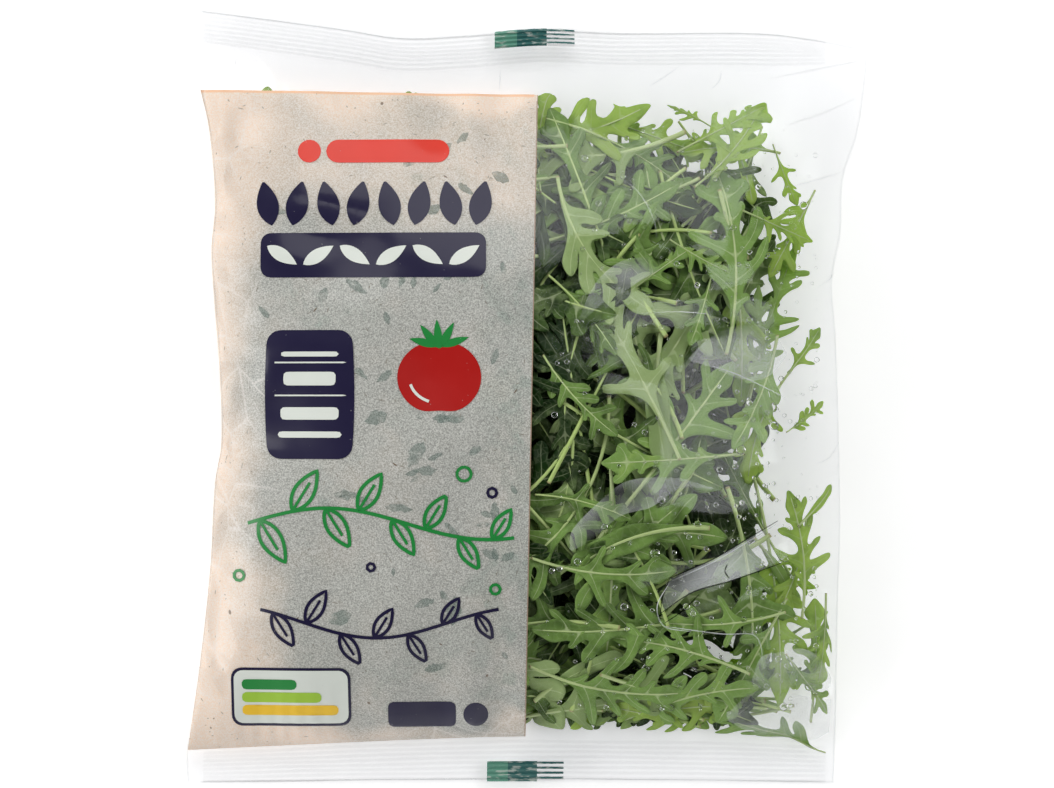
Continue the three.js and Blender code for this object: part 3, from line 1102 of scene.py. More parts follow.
class FrontPrint:
    """Generic shapes on the front: bars, a badge, a tomato, sprigs and a small panel."""

    inks = (
        ("navy", Tone.NAVY, 0.24), ("red", Tone.RED, 0.24), ("bright_red", Tone.BRIGHT_RED, 0.24),
        ("green", Tone.GREEN, 0.29), ("pale", Tone.PALE, 0.34), ("amber", Tone.AMBER, 0.44),
        ("lime", Tone.LIME, 0.44), ("panel_green", Tone.GREEN, 0.44),
    )  # each ink's height over the film, so that one lies over another

    def __init__(self, surface: Callable[[Array, Array], Array]) -> None:
        """Starts one plate for each ink."""
        self.plates = {name: PrintPlate(f"print_{name}", PrintInk(tone), surface, lift)
                       for name, tone, lift in self.inks}

    def fill(self, ink: str, centre: Point, outline: Array, turn: float = 0.0) -> None:
        """Lays a filled shape of one ink, turned by some degrees."""
        self.plates[ink].fill(placed(outline, centre, turn))

    def heading(self) -> None:
        """Lays a red bar with a disc, a row of upright leaves and a band of pale leaves."""
        self.fill("bright_red", (-45, 79.5), rounded_box(40, 7.6, 3.8))
        self.fill("bright_red", (-70.5, 79.5), oval(7.6, 7.6))
        for number in range(8):
            self.fill("navy", (-84 + 9.9 * number, 62.5), leaf_outline(15.0, 7.2), pick((102, 78), number))
        self.fill("navy", (-49.5, 45.5), rounded_box(73, 14.5, 3.2))
        for number in range(6):
            self.fill("pale", (-79 + 11.8 * number, 45.5), leaf_outline(11.5, 4.4), pick((-32, 32), number))

    def badge(self) -> None:
        """Lays a barrel-shaped badge with pale bars."""
        self.fill("navy", (-69.8, 0.5), rounded_box(27.5, 41.5, 4.2, 0.06))
        for height, width, thick in ((13.5, 19, 1.6), (10.8, 24, 0.5), (5.6, 17, 4.4), (0.2, 24, 0.5),
                                     (-5.6, 19, 4.0), (-12.4, 21, 2.0)):
            self.fill("pale", (-69.8, height), rounded_box(width, thick, min(thick / 2.01, 1.0)))

    def tomato(self) -> None:
        """Lays a red tomato with a green star of leaves."""
        fruit = oval(27, 24)
        fruit[:, 1] -= 1.3 * hump(fruit[:, 0], 0, 4.5) * np.sign(fruit[:, 1])
        self.fill("red", (-28, 6), fruit)
        for turn in (18, 62, 95, 128, 165):
            angle = math.radians(turn)
            centre = (-28 + 5.2 * math.cos(angle), 16.3 + 3.6 * math.sin(angle))
            self.fill("green", centre, leaf_outline(9.5, 2.6), turn)
        arc = np.radians(np.linspace(196, 250, 12))
        self.plates["pale"].stroke(pairs(-28 + 9.6 * np.cos(arc), 6 + 8.2 * np.sin(arc)), 0.9)

    def sprig(self, ink: str, start: Point, count: int, pitch: float, width: float, leaf: float,
              shift: float) -> None:
        """Lays a sprig in outline.

        Args:
            ink: Its ink.
            start: Its left end.
            count: How many leaves it has.
            pitch: The way from one leaf to the next, near enough.
            width: The line's width.
            leaf: The first leaf's length.
            shift: Where on its wave the stem starts, in radians.
        """
        plate = self.plates[ink]
        share = np.linspace(0, 1, 60)
        stem = pairs(start[0] + share * count * pitch * 0.86, start[1] + 5 * np.sin(share * 5.2 + shift))
        plate.stroke(stem, width)
        for number in range(count):
            spot = (number + 0.35) / count
            root = np.array([np.interp(spot, share, stem[:, axis]) for axis in range(2)])
            turn = pick((-58, 58), number)
            way = np.array([math.cos(math.radians(turn)), math.sin(math.radians(turn))])
            size = leaf * (1.06 - 0.045 * number)
            plate.stroke(placed(leaf_outline(size, size * 0.42), root + size * 0.52 * way, turn), width)
            plate.stroke(np.array([root, root + size * 0.72 * way]), width * 0.8)

    def sprigs(self) -> None:
        """Lays two sprigs in outline, with seeds between them."""
        self.sprig("green", (-90, -41), 8, 12.5, 1.15, 15.0, 0.0)
        self.sprig("navy", (-86, -73), 7, 12.8, 1.05, 12.0, 2.2)
        for ink, centre, size in (
            ("green", (-20, -25), 4.6), ("navy", (-11, -31), 3.0), ("green", (-93, -58), 3.4),
            ("navy", (-50, -55), 2.6), ("green", (-10, -62), 3.2),
        ):
            self.plates[ink].stroke(placed(oval(size, size), centre), 1.0)

    def small_panel(self) -> None:
        """Lays a pale panel with a dark outline and three bars of colour, and a bar and a disc beside it."""
        self.fill("navy", (-76.5, -97.8), rounded_box(39, 19.6, 3.4))
        self.fill("pale", (-76.5, -97.8), rounded_box(37.2, 17.8, 2.8))
        self.fill("navy", (-34, -103.6), rounded_box(22, 8.6, 1.6))
        self.fill("navy", (-16.5, -103.6), oval(8.2, 8.2))
        for ink, centre, width in (("panel_green", (-83.5, -93.6), 18), ("lime", (-79.5, -97.9), 26),
                                   ("amber", (-76.8, -102.2), 31.4)):
            self.fill(ink, centre, rounded_box(width, 3.4, 1.2))

    def pieces(self) -> None:
        """Lays all the shapes and makes a piece of each ink."""
        for lay in (self.heading, self.badge, self.tomato, self.sprigs, self.small_panel):
            lay()
        for plate in self.plates.values():
            plate.piece()


@dataclass
class PaintedFilmLight:
    """Painted light on the film: lines of painted shade and of painted highlight along creases and the bag's
    edge, painted shade lines between the seal ribs, a folded tongue with painted sheen, pale patches of
    painted reflection, and the painted shadows of leaves pressed to the print.
    """

    shape: BagShape
    surface: Callable[[Array, Array], Array]
    ghost_count: int = 60
    seed: int = 12
    rib_count: int = 9
    # painted shade lines along the film's creases
    dark: tuple[Path, ...] = (
        ((46, -58.6), (60, -52.4), (72, -45.4), (81, -40.2)),
        ((43, -70), (53.5, -63), (66, -59.4), (82, -54)),
        ((46, -58.6), (43.8, -64.5), (43, -70)), ((44.6, -73), (50, -69.2), (55.5, -63.7)),
        ((64.6, -54.2), (63.8, -56.4), (65.2, -58.6)),
    )
    # painted highlight lines along the film's creases
    bright: tuple[Path, ...] = (
        ((46.8, -59.4), (60.4, -53.2), (72.4, -46.2), (81, -41)),
        ((46, -60), (42, -67.6), (44.4, -74.2), (53, -76)),
        ((44.4, -74.2), (62.8, -76.7), (72.8, -76.9), (75.8, -81), (76.2, -85.5)),
        ((34.6, 26.3), (47.9, 27.1), (59.5, 26.3)),
        ((59.5, 9.7), (67, 7.2), (74.4, 3.9), (84.3, -1)), ((28, 72), (36, 66), (41, 57), (42, 50)),
    )
    # faint painted shade lines on wrinkles and near the bag's edge
    faint: tuple[Path, ...] = (
        ((86, 68), (94, 70.2), (103, 73)), ((84, 88), (96, 92), (108, 97.5)),
        ((80, 104), (95, 107), (110, 110)),
        ((94, 35), (98, 37.6), (101, 41)), ((93, -22), (98, -20), (101.5, -15)), ((-8.8, 99), (-8.6, 107)),
        ((40, 101), (46, 105), (50, 108)), ((60, 100), (63, 103), (64, 107)),
        ((-100, 101), (-96, 106), (-95, 111)),
    )
    tongue: Path = (
        (46, -58.6), (60, -52.4), (72, -45.4), (81, -40.2), (82, -54), (66, -59.4), (53.5, -63), (43, -70),
        (43.8, -64.5), (46, -58.6),
    )
    # pale patches of painted reflection, each between two edges
    veils: tuple[tuple[Path, Path], ...] = (
        (((13.8, -49), (15, -42.5), (24.5, -32.8), (33, -27), (47.9, -26.2), (60, -29.5)),
         ((14.6, -49.6), (21, -46), (30, -38.5), (40, -35.5), (49, -29.6), (60, -30))),
        (((17, 25), (20.5, 33.5), (25, 39.5), (31, 43.6), (38, 44.6), (47, 43.4)),
         ((18, 24), (26, 31), (32, 34), (37, 37.4), (42, 40), (47, 43))),
        (((73, -92), (76, -84.5), (82, -83), (90, -82), (96, -86), (99.5, -92)),
         ((73.5, -94), (79, -96), (84, -95.5), (89, -94), (94, -97), (99, -95))),
        (((65, -104), (71, -98), (78, -95), (86, -97), (94, -98), (99.5, -99)),
         ((66, -106), (72, -109.5), (79, -112), (86, -112), (93, -113), (99, -110))),
        (((52, 12), (58, 18), (66, 22), (74, 23), (80, 20), (84, 14)),
         ((53, 11), (60, 9), (67, 6), (73, 5), (79, 7), (84, 13))),
    )

    def plate(self, name: str, lift: float, clearness: float, shine: float = 0.0,
              *reach: float) -> PrintPlate:
        """Returns an empty plate of painted crease shade and highlight at some height over the film."""
        finish = FilmLine(clearness, shine, reach) if reach else FilmLine(clearness, shine)
        return PrintPlate(name, finish, self.surface, lift, Slot.CLEAR_FILM)

    def outline(self) -> list[Array]:
        """Returns the bag's outline as four paths, a little inside its edge."""
        side_inset, end_inset = 0.35, 1.2
        y = np.linspace(-self.shape.half_length + 1, self.shape.upper_level + 4, 90)
        x = np.linspace(-107, 108, 90)
        return [
            pairs(self.shape.left(y) + side_inset, y), pairs(self.shape.right(y) - side_inset, y),
            pairs(x, self.shape.upper_cut(x) - end_inset), pairs(x, self.shape.lower_cut(x) + end_inset),
        ]

    def lines(self) -> list[PrintPlate]:
        """Returns the plates of the painted shade lines, the painted highlight lines and the faint painted
        shade lines, the last with the bag's edge.
        """
        dark = self.plate("film_folds", 0.3, 0.55)
        bright = self.plate("film_glints", 0.36, 1.0, 0.36)
        faint = self.plate("film_edges", 0.3, 0.955)
        for plate, paths, width, taper in (
            (dark, self.dark, 0.42, 0.5), (bright, self.bright, 0.36, 0.8), (faint, self.faint, 0.7, 0.8),
        ):
            for path in paths:
                plate.stroke(rounded(path), width, taper)
        for path in self.outline():
            faint.stroke(path, 0.6)
        return [dark, bright, faint]

    def ribs(self) -> PrintPlate:
        """Returns the plate of painted shade lines between the ribs of both seals."""
        ribs = self.plate("film_ribs", 0.34, 0.97)
        x = np.linspace(-106, 98, 110)
        for number in range(1, self.rib_count):
            share = number / self.rib_count
            low = lerp(self.shape.lower_cut(x), self.shape.lower_edge(x), share)
            ribs.stroke(pairs(x, low + 0.1 * np.sin(x / 9 + number)), 1.0)
            high = lerp(self.shape.upper_edge(x), self.shape.upper_cut(x), share)
            ribs.stroke(pairs(x, high + 0.2 * np.sin(x / 21 + number)), 0.95)
        return ribs

    def ghosts(self) -> PrintPlate:
        """Returns the plate of painted shadows of leaves that are pressed to the print from within."""
        ghosts = PrintPlate("print_ghosts", PaintedLeafShadow(), self.surface, 0.14, Slot.PRINTED_FILM)
        draw = np.random.default_rng(self.seed)
        for _ in range(self.ghost_count):
            centre = (-4 - 90 * draw.beta(1.0, 2.1), draw.uniform(-104, 90))
            size = min(draw.gamma(3.0, 1.3) + 2, 10.5)
            scrap = leaf_outline(size, size * draw.uniform(0.3, 0.62))
            scrap[1:-1] += draw.normal(0, 0.035 * size, scrap[1:-1].shape)
            ghosts.fill(placed(scrap, centre, draw.uniform(0, 360)))
        return ghosts

    def pieces(self) -> None:
        """Makes the painted crease lines, the edge, the rib shade lines, the tongue, the pale patches of
        painted reflection and the painted leaf shadows.
        """
        # the tongue: a doubled flap of film with a painted sheen
        tongue = self.plate("film_tongue", 0.24, 0.985, 0.26, 0.036, 0.064, 0.066, 0.082)
        tongue.fill(np.array(self.tongue))
        veils = self.plate("film_veils", 0.2, 1.0, 0.15)
        for first, second in self.veils:
            veils.ribbon(rounded(first), rounded(second))
        for plate in (*self.lines(), self.ribs(), tongue, veils, self.ghosts()):
            plate.piece()


# The leaves


PLAIN_TURN = 7  # one leaf pattern in so many has no lobes


@dataclass(frozen=True)
class Lobe:
    """A side lobe of a leaf: the cell that it grows from, its side, reach, lean from the midrib and width."""

    cell: int
    side: int
    reach: float
    lean: float
    width: float


@dataclass
class Pattern:
    """A leaf laid flat: its blade, and its stalk with the midrib."""

    blade: Part
    coarse: Part  # the same blade with fewer points, for leaves that lie deep
    stalk: Part
    length: float
    stalk_length: float


@dataclass
class LeafGrower:
    """Grows the flat shape of one wild rocket leaf, with narrow lobes that lean to its tip."""

    draw: np.random.Generator
    lobed: bool = True
    cell: float = 4.2
    thickness: float = 0.34
    skew: float = 2.4
    stalk_sides: int = 6
    stalk_cuts: int = 17
    groove: float = 0.22

    def plan(self) -> None:
        """Draws the leaf's sizes and its lobes."""
        draw = self.draw
        self.cells = int(draw.integers(12, 18)) if self.lobed else int(draw.integers(8, 12))
        self.length = self.cells * self.cell
        self.stalk_length = float(draw.choice([5, 9, 14, 28]) * draw.uniform(0.8, 1.2))
        self.stalk_radius = draw.uniform(0.6, 0.98)
        share = np.arange(self.cells + 1) / self.cells
        full = draw.uniform(0.95, 1.5)
        neck = lerp(0.8, full * draw.uniform(1.3, 2.3), smoothstep(0, 0.35, share))
        tip = full * draw.uniform(1.4, 3.2) * hump(share, 0.86, 0.09)
        if not self.lobed:
            neck = lerp(1.0, draw.uniform(2.8, 4.6), smoothstep(0, 0.5, share))
            tip = 0
        self.widths = (neck + tip) * np.sqrt(np.clip((1.02 - share) / 0.16, 0.02, 1))
        self.widths *= draw.uniform(0.78, 1.24, self.cells + 1)
        self.lobes = []
        if not self.lobed:
            return
        for side in (-1, 1):
            cell = int(draw.integers(2, 5))
            while cell < self.cells - 2:
                rise = math.sin(math.pi * min(cell / self.cells + 0.12, 1))
                small = draw.uniform() < 0.24
                reach = draw.uniform(3, 6) if small else draw.uniform(9, 17) * (0.4 + 0.65 * rise)
                width = draw.uniform(0.9, 1.4) if small else full * draw.uniform(1.3, 2.3)
                self.lobes.append(Lobe(cell, side, reach, draw.uniform(40, 74), width))
                cell += 2 if small else int(draw.choice([2, 3, 3, 4]))

    def cage(self) -> Shape:
        """Returns the blade's coarse cage, flat and one face thick, with the veins marked."""
        cage = bmesh.new()
        vein = cage.verts.layers.float.new("vein")
        bmesh.ops.create_grid(cage, x_segments=self.cells, y_segments=2, size=1.0)
        spots = {}
        for vertex in cage.verts:
            column, row = round((vertex.co.x + 1) / 2 * self.cells), round(vertex.co.y)
            spots[column, row] = vertex
            vertex[vein] = 1.0 if row == 0 else 0.0
        for (column, row), vertex in spots.items():
            tip_share = column / self.cells
            forward = self.skew * abs(row) * (1 - tip_share**4)
            vertex.co = (column * self.cell + forward, row * self.widths[column], 0)
        for lobe in self.lobes:
            self.grow_lobe(cage, [spots[lobe.cell + k, lobe.side] for k in (-1, 0, 1)], lobe, vein)
        bmesh.ops.recalc_face_normals(cage, faces=cage.faces[:])
        return cage

    def grow_lobe(self, cage: Shape, ring: list, lobe: Lobe, vein: object) -> None:
        """Extrudes one lobe from two edges of the blade.

        Args:
            cage: The blade's cage, changed in place.
            ring: The three vertices that the lobe grows from.
            lobe: Its sizes.
            vein: The layer that marks the veins.
        """
        root = ring[1].co.copy()
        ring[1][vein] = 1.0
        curl = self.draw.uniform(-17, 7)
        tip = self.draw.uniform(0.15, 0.6)
        waist = self.draw.uniform(0.6, 0.95)
        place = root
        for length, spread in ((0.36, waist), (0.34, 1.15), (0.3, tip)):
            lean = math.radians(lobe.lean)
            lobe = Lobe(lobe.cell, lobe.side, lobe.reach, lobe.lean + curl, lobe.width)
            edges = [cage.edges.get((ring[0], ring[1])), cage.edges.get((ring[1], ring[2]))]
            made = bmesh.ops.extrude_edge_only(cage, edges=edges)
            fresh = {item for item in made["geom"] if isinstance(item, bmesh.types.BMVert)}
            ring = [next(e.other_vert(v) for e in v.link_edges if e.other_vert(v) in fresh) for v in ring]
            heading = np.array([math.cos(lean), lobe.side * math.sin(lean)])
            way = heading * lobe.reach * length
            place = place.copy()
            place.xy = place.x + way[0], place.y + way[1]
            across = np.array([heading[1], -heading[0]]) * lobe.side * lobe.width * spread
            for vertex, share in zip(ring, (-1, 0, 1)):
                reach = share * self.draw.uniform(0.65, 1.35)
                vertex.co = (place.x + reach * across[0], place.y + reach * across[1], 0)
                vertex[vein] = 1.0 if share == 0 else 0.0

    def smooth_sheet(self, cage: Shape, levels: int) -> bpy.types.Mesh:
        """Returns the cage subdivided to a smooth sheet."""
        mesh = bpy.data.meshes.new("blade_cage")
        cage.to_mesh(mesh)
        cage.free()
        holder = bpy.data.objects.new("blade_cage", mesh)
        bpy.context.scene.collection.objects.link(holder)
        smooth = holder.modifiers.new("smooth", "SUBSURF")
        smooth.levels = smooth.render_levels = levels
        graph = bpy.context.evaluated_depsgraph_get()
        sheet = bpy.data.meshes.new_from_object(holder.evaluated_get(graph))
        bpy.data.objects.remove(holder)
        bpy.data.meshes.remove(mesh)
        return sheet

    def blade(self, cage: Shape, levels: int) -> Part:
        """Returns the blade as a thin closed solid."""
        sheet = self.smooth_sheet(cage, levels)
        solid = bmesh.new()
        solid.from_mesh(sheet)
        bpy.data.meshes.remove(sheet)
        vein = solid.verts.layers.float["vein"]
        upper = solid.verts.layers.float.new("upper")
        bmesh.ops.triangulate(solid, faces=solid.faces[:], quad_method="BEAUTY")
        for vertex in solid.verts:
            vertex.co.z = -self.thickness / 2
        thicken(solid, self.thickness)
        for vertex in solid.verts:
            vertex[upper] = 1.0 if vertex.co.z > 0 else 0.0
            vertex.co.z -= self.groove * max(0.0, vertex[vein] - 0.4)
        bmesh.ops.triangulate(solid, faces=solid.faces[:])
        blade = Part.of(solid)
        blade.marks = np.array([(vertex[vein], 0, vertex[upper], 1) for vertex in solid.verts])
        solid.free()
        return blade

    def stalk(self) -> Part:
        """Returns the stalk and the midrib as one tapering tube."""
        tube = bmesh.new()
        bmesh.ops.create_cone(tube, cap_ends=True, segments=self.stalk_sides, radius1=1, radius2=1, depth=1)
        runs = [edge for edge in tube.edges if abs(edge.verts[0].co.z - edge.verts[1].co.z) > 0.5]
        bmesh.ops.subdivide_edges(tube, edges=runs, cuts=self.stalk_cuts, use_grid_fill=True)
        bmesh.ops.triangulate(tube, faces=tube.faces[:])
        bmesh.ops.recalc_face_normals(tube, faces=tube.faces[:])
        unit = Part.of(tube)
        tube.free()
        side, rise, share = unit.points[:, 0], unit.points[:, 1], unit.points[:, 2] + 0.5
        x = lerp(-self.stalk_length, self.length * 0.93, share**1.5)
        thick = lerp(self.stalk_radius, 0.62, smoothstep(-self.stalk_length, 0.3 * self.length, x))
        thick = thick * lerp(1.0, 0.34, np.clip(x / self.length, 0, 1))
        points = np.stack([x, side * thick, rise * thick * 0.85], 1)
        cut = (share < 0.001).astype(float)
        marks = np.stack([np.clip(x / self.length, 0, 1), np.zeros_like(x), cut, np.ones_like(x)], 1)
        return Part(points, unit.triangles, marks)

    def grow(self, levels: int) -> Pattern:
        """Returns the whole leaf, its blade subdivided to a level."""
        self.plan()
        cage = self.cage()
        coarse = self.blade(cage.copy(), 1)
        return Pattern(self.blade(cage, levels), coarse, self.stalk(), self.length, self.stalk_length)


@dataclass
class LeafPose:
    """How one leaf lies in the bag: place, heading, bends, depth below the front film and tilt."""

    centre: Point
    heading: float
    bend: float
    depth: float
    roll: float
    pitch: float
    wave: float
    wavelength: float
    shift: float
    curl: float
    vee: float
    size: float
    tone: float
    gap: float
    flipped: bool


@dataclass(frozen=True)
class ShownLeaf:
    """A leaf that shows clearly in the window: from its stalk's end to its tip, on the bag."""

    root: Point
    tip: Point
    tone: float
    flipped: bool = False
    lobed: bool = True
    depth: float = 0.0


@dataclass(frozen=True)
class Layer:
    """Leaves whose middles lie in a box. Where a field holds a few values, the leaves take turns at them."""

    count: int
    lower_left: Path
    upper_right: Point
    depths: tuple[Span, ...]  # from 0 at the front film to 1 at the back one
    side: float = 0.0  # 0 keeps the leaves in the pile, and 1 lets them reach the right side
    leans: tuple[float | None, ...] = (None,)  # near enough the leaves' heading, or none for any
    sizes: Span = (0.8, 1.15)


@dataclass
class Heap:
    """The leaves in the bag, lying across one another from the back film to the front film."""

    map: HeightMap
    shape: BagShape
    seed: int = 5
    fine_patterns: int = 14
    plain_patterns: int = 10
    tries: int = 24
    fine_depth: float = 0.12
    side_gap: float = 3.0
    end_gap: float = 4.0
    top_edge: Line = Line(
        (0, 97), (24, 98), (31, 94.5), (38, 97), (56, 93), (69, 94), (78, 96.5), (83, 88), (90, 80),
        (100, 74),
    )
    piece_limit: int = 190_000
    pile_side: Line = Line(
        (-112, 93), (-98, 88), (-75, 82), (-50, 77), (-20, 75), (30, 75), (70, 77), (97, 72),
    )
    peeks: Path = ((-85, 4.5), (-37.5, 3.6), (6, 2.2))  # where leaves stick out at the top, and how far
    layers: tuple[tuple[str, Layer], ...] = (
        ("fine", Layer(70, ((-8, -108),), (76, 88), ((0.02, 0.09), (0.1, 0.4), (0.1, 0.4)))),
        ("fine", Layer(18, ((2, -110),), (86, -97), ((0.05, 0.8),), 0.3, (0.0,), (0.55, 0.85))),
        ("lobed", Layer(9, ((74, -106),), (99, 84), ((0.2, 0.8),), 1.0, (None, math.pi / 2), (0.34, 0.7))),
        ("fine", Layer(7, ((66, -108),), (84, 84), ((0.1, 0.7),), 0.7, sizes=(0.5, 0.85))),
        ("fine", Layer(7, ((28, 68),), (82, 94), ((0.1, 0.6),), 0.5, sizes=(0.45, 0.75))),
        ("lobed", Layer(11, ((0, 40),), (54, 88), ((0.04, 0.26),), sizes=(0.7, 1.0))),
        ("plain", Layer(44, ((-100, -106),), (0, 92), ((0.0, 0.3),))),
        ("plain", Layer(190, ((-100, -110), (0, -110), (0, -110)), (70, 78), ((0.35, 1.0),))),
    )  # the window, its low edge, the sparse right fringe, the pile's side, its top and its upper left, then
    # the leaves under the print and the inside, each with the kind of patterns that it uses
    shown: tuple[ShownLeaf, ...] = (
        ShownLeaf((4, 68), (37, 22), 0.5, True), ShownLeaf((26, 46), (8, 94), 0.35),
        ShownLeaf((50, -20), (22, 34), 0.62, True), ShownLeaf((69, 13), (66, 76), 0.55),
        ShownLeaf((49, 79), (78, 95), 0.9), ShownLeaf((46, 50), (66, 39), 0.7),
        ShownLeaf((32, 33), (53, 48), 0.6), ShownLeaf((61, 42), (53, 16), 0.45),
        ShownLeaf((83, 19), (68, -18), 0.6), ShownLeaf((70, -19), (24, -22), 0.62),
        ShownLeaf((0, -91), (52, -100), 0.5), ShownLeaf((1, -55), (48, -59), 0.45),
        ShownLeaf((58, -38), (13, -52), 0.38, False, False), ShownLeaf((84, -72), (43, -75), 0.6),
        ShownLeaf((73, -88), (28, -76), 0.52), ShownLeaf((92, -72), (87, -30), 0.85),
        ShownLeaf((88, -42), (101, -29), 0.95, False, False), ShownLeaf((99, -64), (96, -96), 0.8),
        ShownLeaf((4, 12), (28, -14), 0.4), ShownLeaf((3, -30), (34, -38), 0.35),
        ShownLeaf((30, -104), (75, -92), 0.6), ShownLeaf((8, 40), (30, 14), 0.3),
        ShownLeaf((-84, 60), (-85, 104), 0.8, depth=0.4), ShownLeaf((-42, 58), (-37.5, 104), 0.8, depth=0.4),
        ShownLeaf((2, 66), (6, 103), 0.9, depth=0.2), ShownLeaf((100, -119.5), (58, -103), 0.6, depth=0.4),
        ShownLeaf((56, 66), (80, 96), 0.95), ShownLeaf((60, 88), (46, 97), 0.9),
        ShownLeaf((70, 60), (93, 50), 0.95),
        ShownLeaf((80, 82), (88, 62), 0.95, False, True, 0.3), ShownLeaf((82, 4), (96, 22), 0.85),
        ShownLeaf((84, -12), (97, -2), 0.95), ShownLeaf((84, -84), (100, -104), 0.75),
    )

    def __post_init__(self) -> None:
        """Grows the leaf patterns."""
        self.draw = np.random.default_rng(self.seed)
        fine = self.grow_patterns(self.fine_patterns, 2)
        plain = self.grow_patterns(self.plain_patterns, 1)
        lobed = [pattern for number, pattern in enumerate(fine) if self.has_lobes(number)]
        self.patterns = {"fine": fine, "plain": plain, "lobed": lobed}

    def grow_patterns(self, count: int, levels: int) -> list[Pattern]:
        """Returns a few leaf patterns, some of them without lobes."""
        return [LeafGrower(self.draw, lobed=self.has_lobes(number)).grow(levels) for number in range(count)]

    @staticmethod
    def has_lobes(number: int) -> bool:
        """Says whether a pattern has lobes, by its number."""
        return number % PLAIN_TURN != PLAIN_TURN - 1

    def room(self, x: float, y: float, side: float) -> bool:
        """Says whether a place is where leaves fill the bag, up to a share of the way to its right side."""
        right = lerp(self.pile_side(np.array(y)), self.shape.right(np.array(y)) - self.side_gap, side)
        left = self.shape.left(np.array(y)) + self.side_gap
        top = self.top_edge(np.array(x)) - self.end_gap
        bottom = self.shape.lower_edge(np.array(x)) + self.end_gap
        return bool(bottom < y < top and left < x < right)

    def pose(self, pattern: Pattern, layer: Layer, number: int) -> LeafPose:
        """Draws how one leaf of a layer lies.

        Args:
            pattern: The leaf's pattern.
            layer: The layer.
            number: The leaf's number in it.

        Returns:
            A pose that keeps the leaf inside the bag, or the nearest to one that was found.
        """
        low, high, lean = pick(layer.lower_left, number), layer.upper_right, pick(layer.leans, number)
        draw = self.draw
        best, best_inside = ((0.0, 0.0), 0.0, 1.0), -1.0
        for _ in range(self.tries):
            size = draw.uniform(*layer.sizes)
            centre = (draw.uniform(low[0], high[0]), draw.uniform(low[1], high[1]))
            heading = draw.uniform(0, 2 * math.pi)
            if lean is not None:
                heading = lean + draw.normal(0, 0.5) + math.pi * draw.integers(2)
            spots = np.linspace(-0.5, 0.5, 7) * size * (pattern.length + pattern.stalk_length)
            places = pairs(centre[0] + spots * math.cos(heading), centre[1] + spots * math.sin(heading))
            inside = [self.room(*place, layer.side) for place in places]
            share = sum(inside) / len(inside)
            if share > best_inside:
                best, best_inside = (centre, heading, size), share
            if share == 1:
                break
        return self.drawn_pose(*best, depth=draw.uniform(*pick(layer.depths, number)))

    def drawn_pose(self, centre: Point, heading: float, size: float, depth: float) -> LeafPose:
        """Draws the rest of a pose: a leaf's bends, tone and way up. The tone holds painted light: leaves
        near the bag's edges get a fresh tone as painted backlight, and deep leaves and those in the window's
        left strip a darker one as painted shade.
        """
        draw = self.draw
        x, y = np.array(centre[0]), np.array(centre[1])
        # painted backlight near the bag's edges; painted shade in the window's left strip and on deep leaves
        edge = max(smoothstep(60, 84, x), smoothstep(62, 90, y), 0.8 * smoothstep(-96, -106, y))
        shade = hump(x, 6, 22) * smoothstep(-34, -10, y) * (1 - smoothstep(45, 65, y))
        tone = draw.beta(1.5, 1.8) - 0.75 * smoothstep(0.2, 0.5, np.array(depth)) * (1 - edge) - 0.5 * shade
        tone = max(tone, 0.7 * edge)
        if draw.uniform() < edge:
            tone = draw.uniform(0.8, 1.2)
        return LeafPose(
            centre=centre, heading=heading, bend=draw.normal(0, 0.009), depth=depth,
            roll=draw.normal(0, 0.3), pitch=draw.normal(0, 0.1), wave=draw.uniform(0.6, 2.2),
            wavelength=draw.uniform(14, 30), shift=draw.uniform(0, 2 * math.pi), curl=draw.normal(0, 0.014),
            vee=draw.normal(0.1, 0.22), size=size, tone=tone, gap=draw.uniform(0.7, 2.4),
            flipped=draw.uniform() < 0.33,
        )

    def shown_pose(self, leaf: ShownLeaf) -> tuple[Pattern, LeafPose]:
        """Returns the pattern and the pose of a leaf that shows clearly."""
        run = np.array(leaf.tip) - np.array(leaf.root)
        reach = float(np.hypot(*run))
        likely = [pattern for number, pattern in enumerate(self.patterns["fine"])
                  if self.has_lobes(number) == leaf.lobed]
        sizes = [reach / (pattern.length + pattern.stalk_length) for pattern in likely]
        chosen = int(np.argmin(np.abs(np.array(sizes) - 0.95) + self.draw.uniform(0, 0.15, len(likely))))
        centre = tuple((np.array(leaf.tip) + np.array(leaf.root)) / 2)
        pose = self.drawn_pose(centre, math.atan2(run[1], run[0]), sizes[chosen], leaf.depth)
        pose.tone, pose.flipped, pose.gap = leaf.tone, leaf.flipped, 0.7
        pose.roll, pose.vee = 0.4 * pose.roll, 0.6 * pose.vee
        return likely[chosen], pose

    def lay(self, points: Array, pattern: Pattern, pose: LeafPose) -> Array:
        """Bends a flat leaf into its place.

        Args:
            points: The flat points.
            pattern: The leaf that they belong to.
            pose: How the leaf lies.

        Returns:
            The points in the bag, in millimetres.
        """
        middle_x = (pattern.length - pattern.stalk_length) / 2

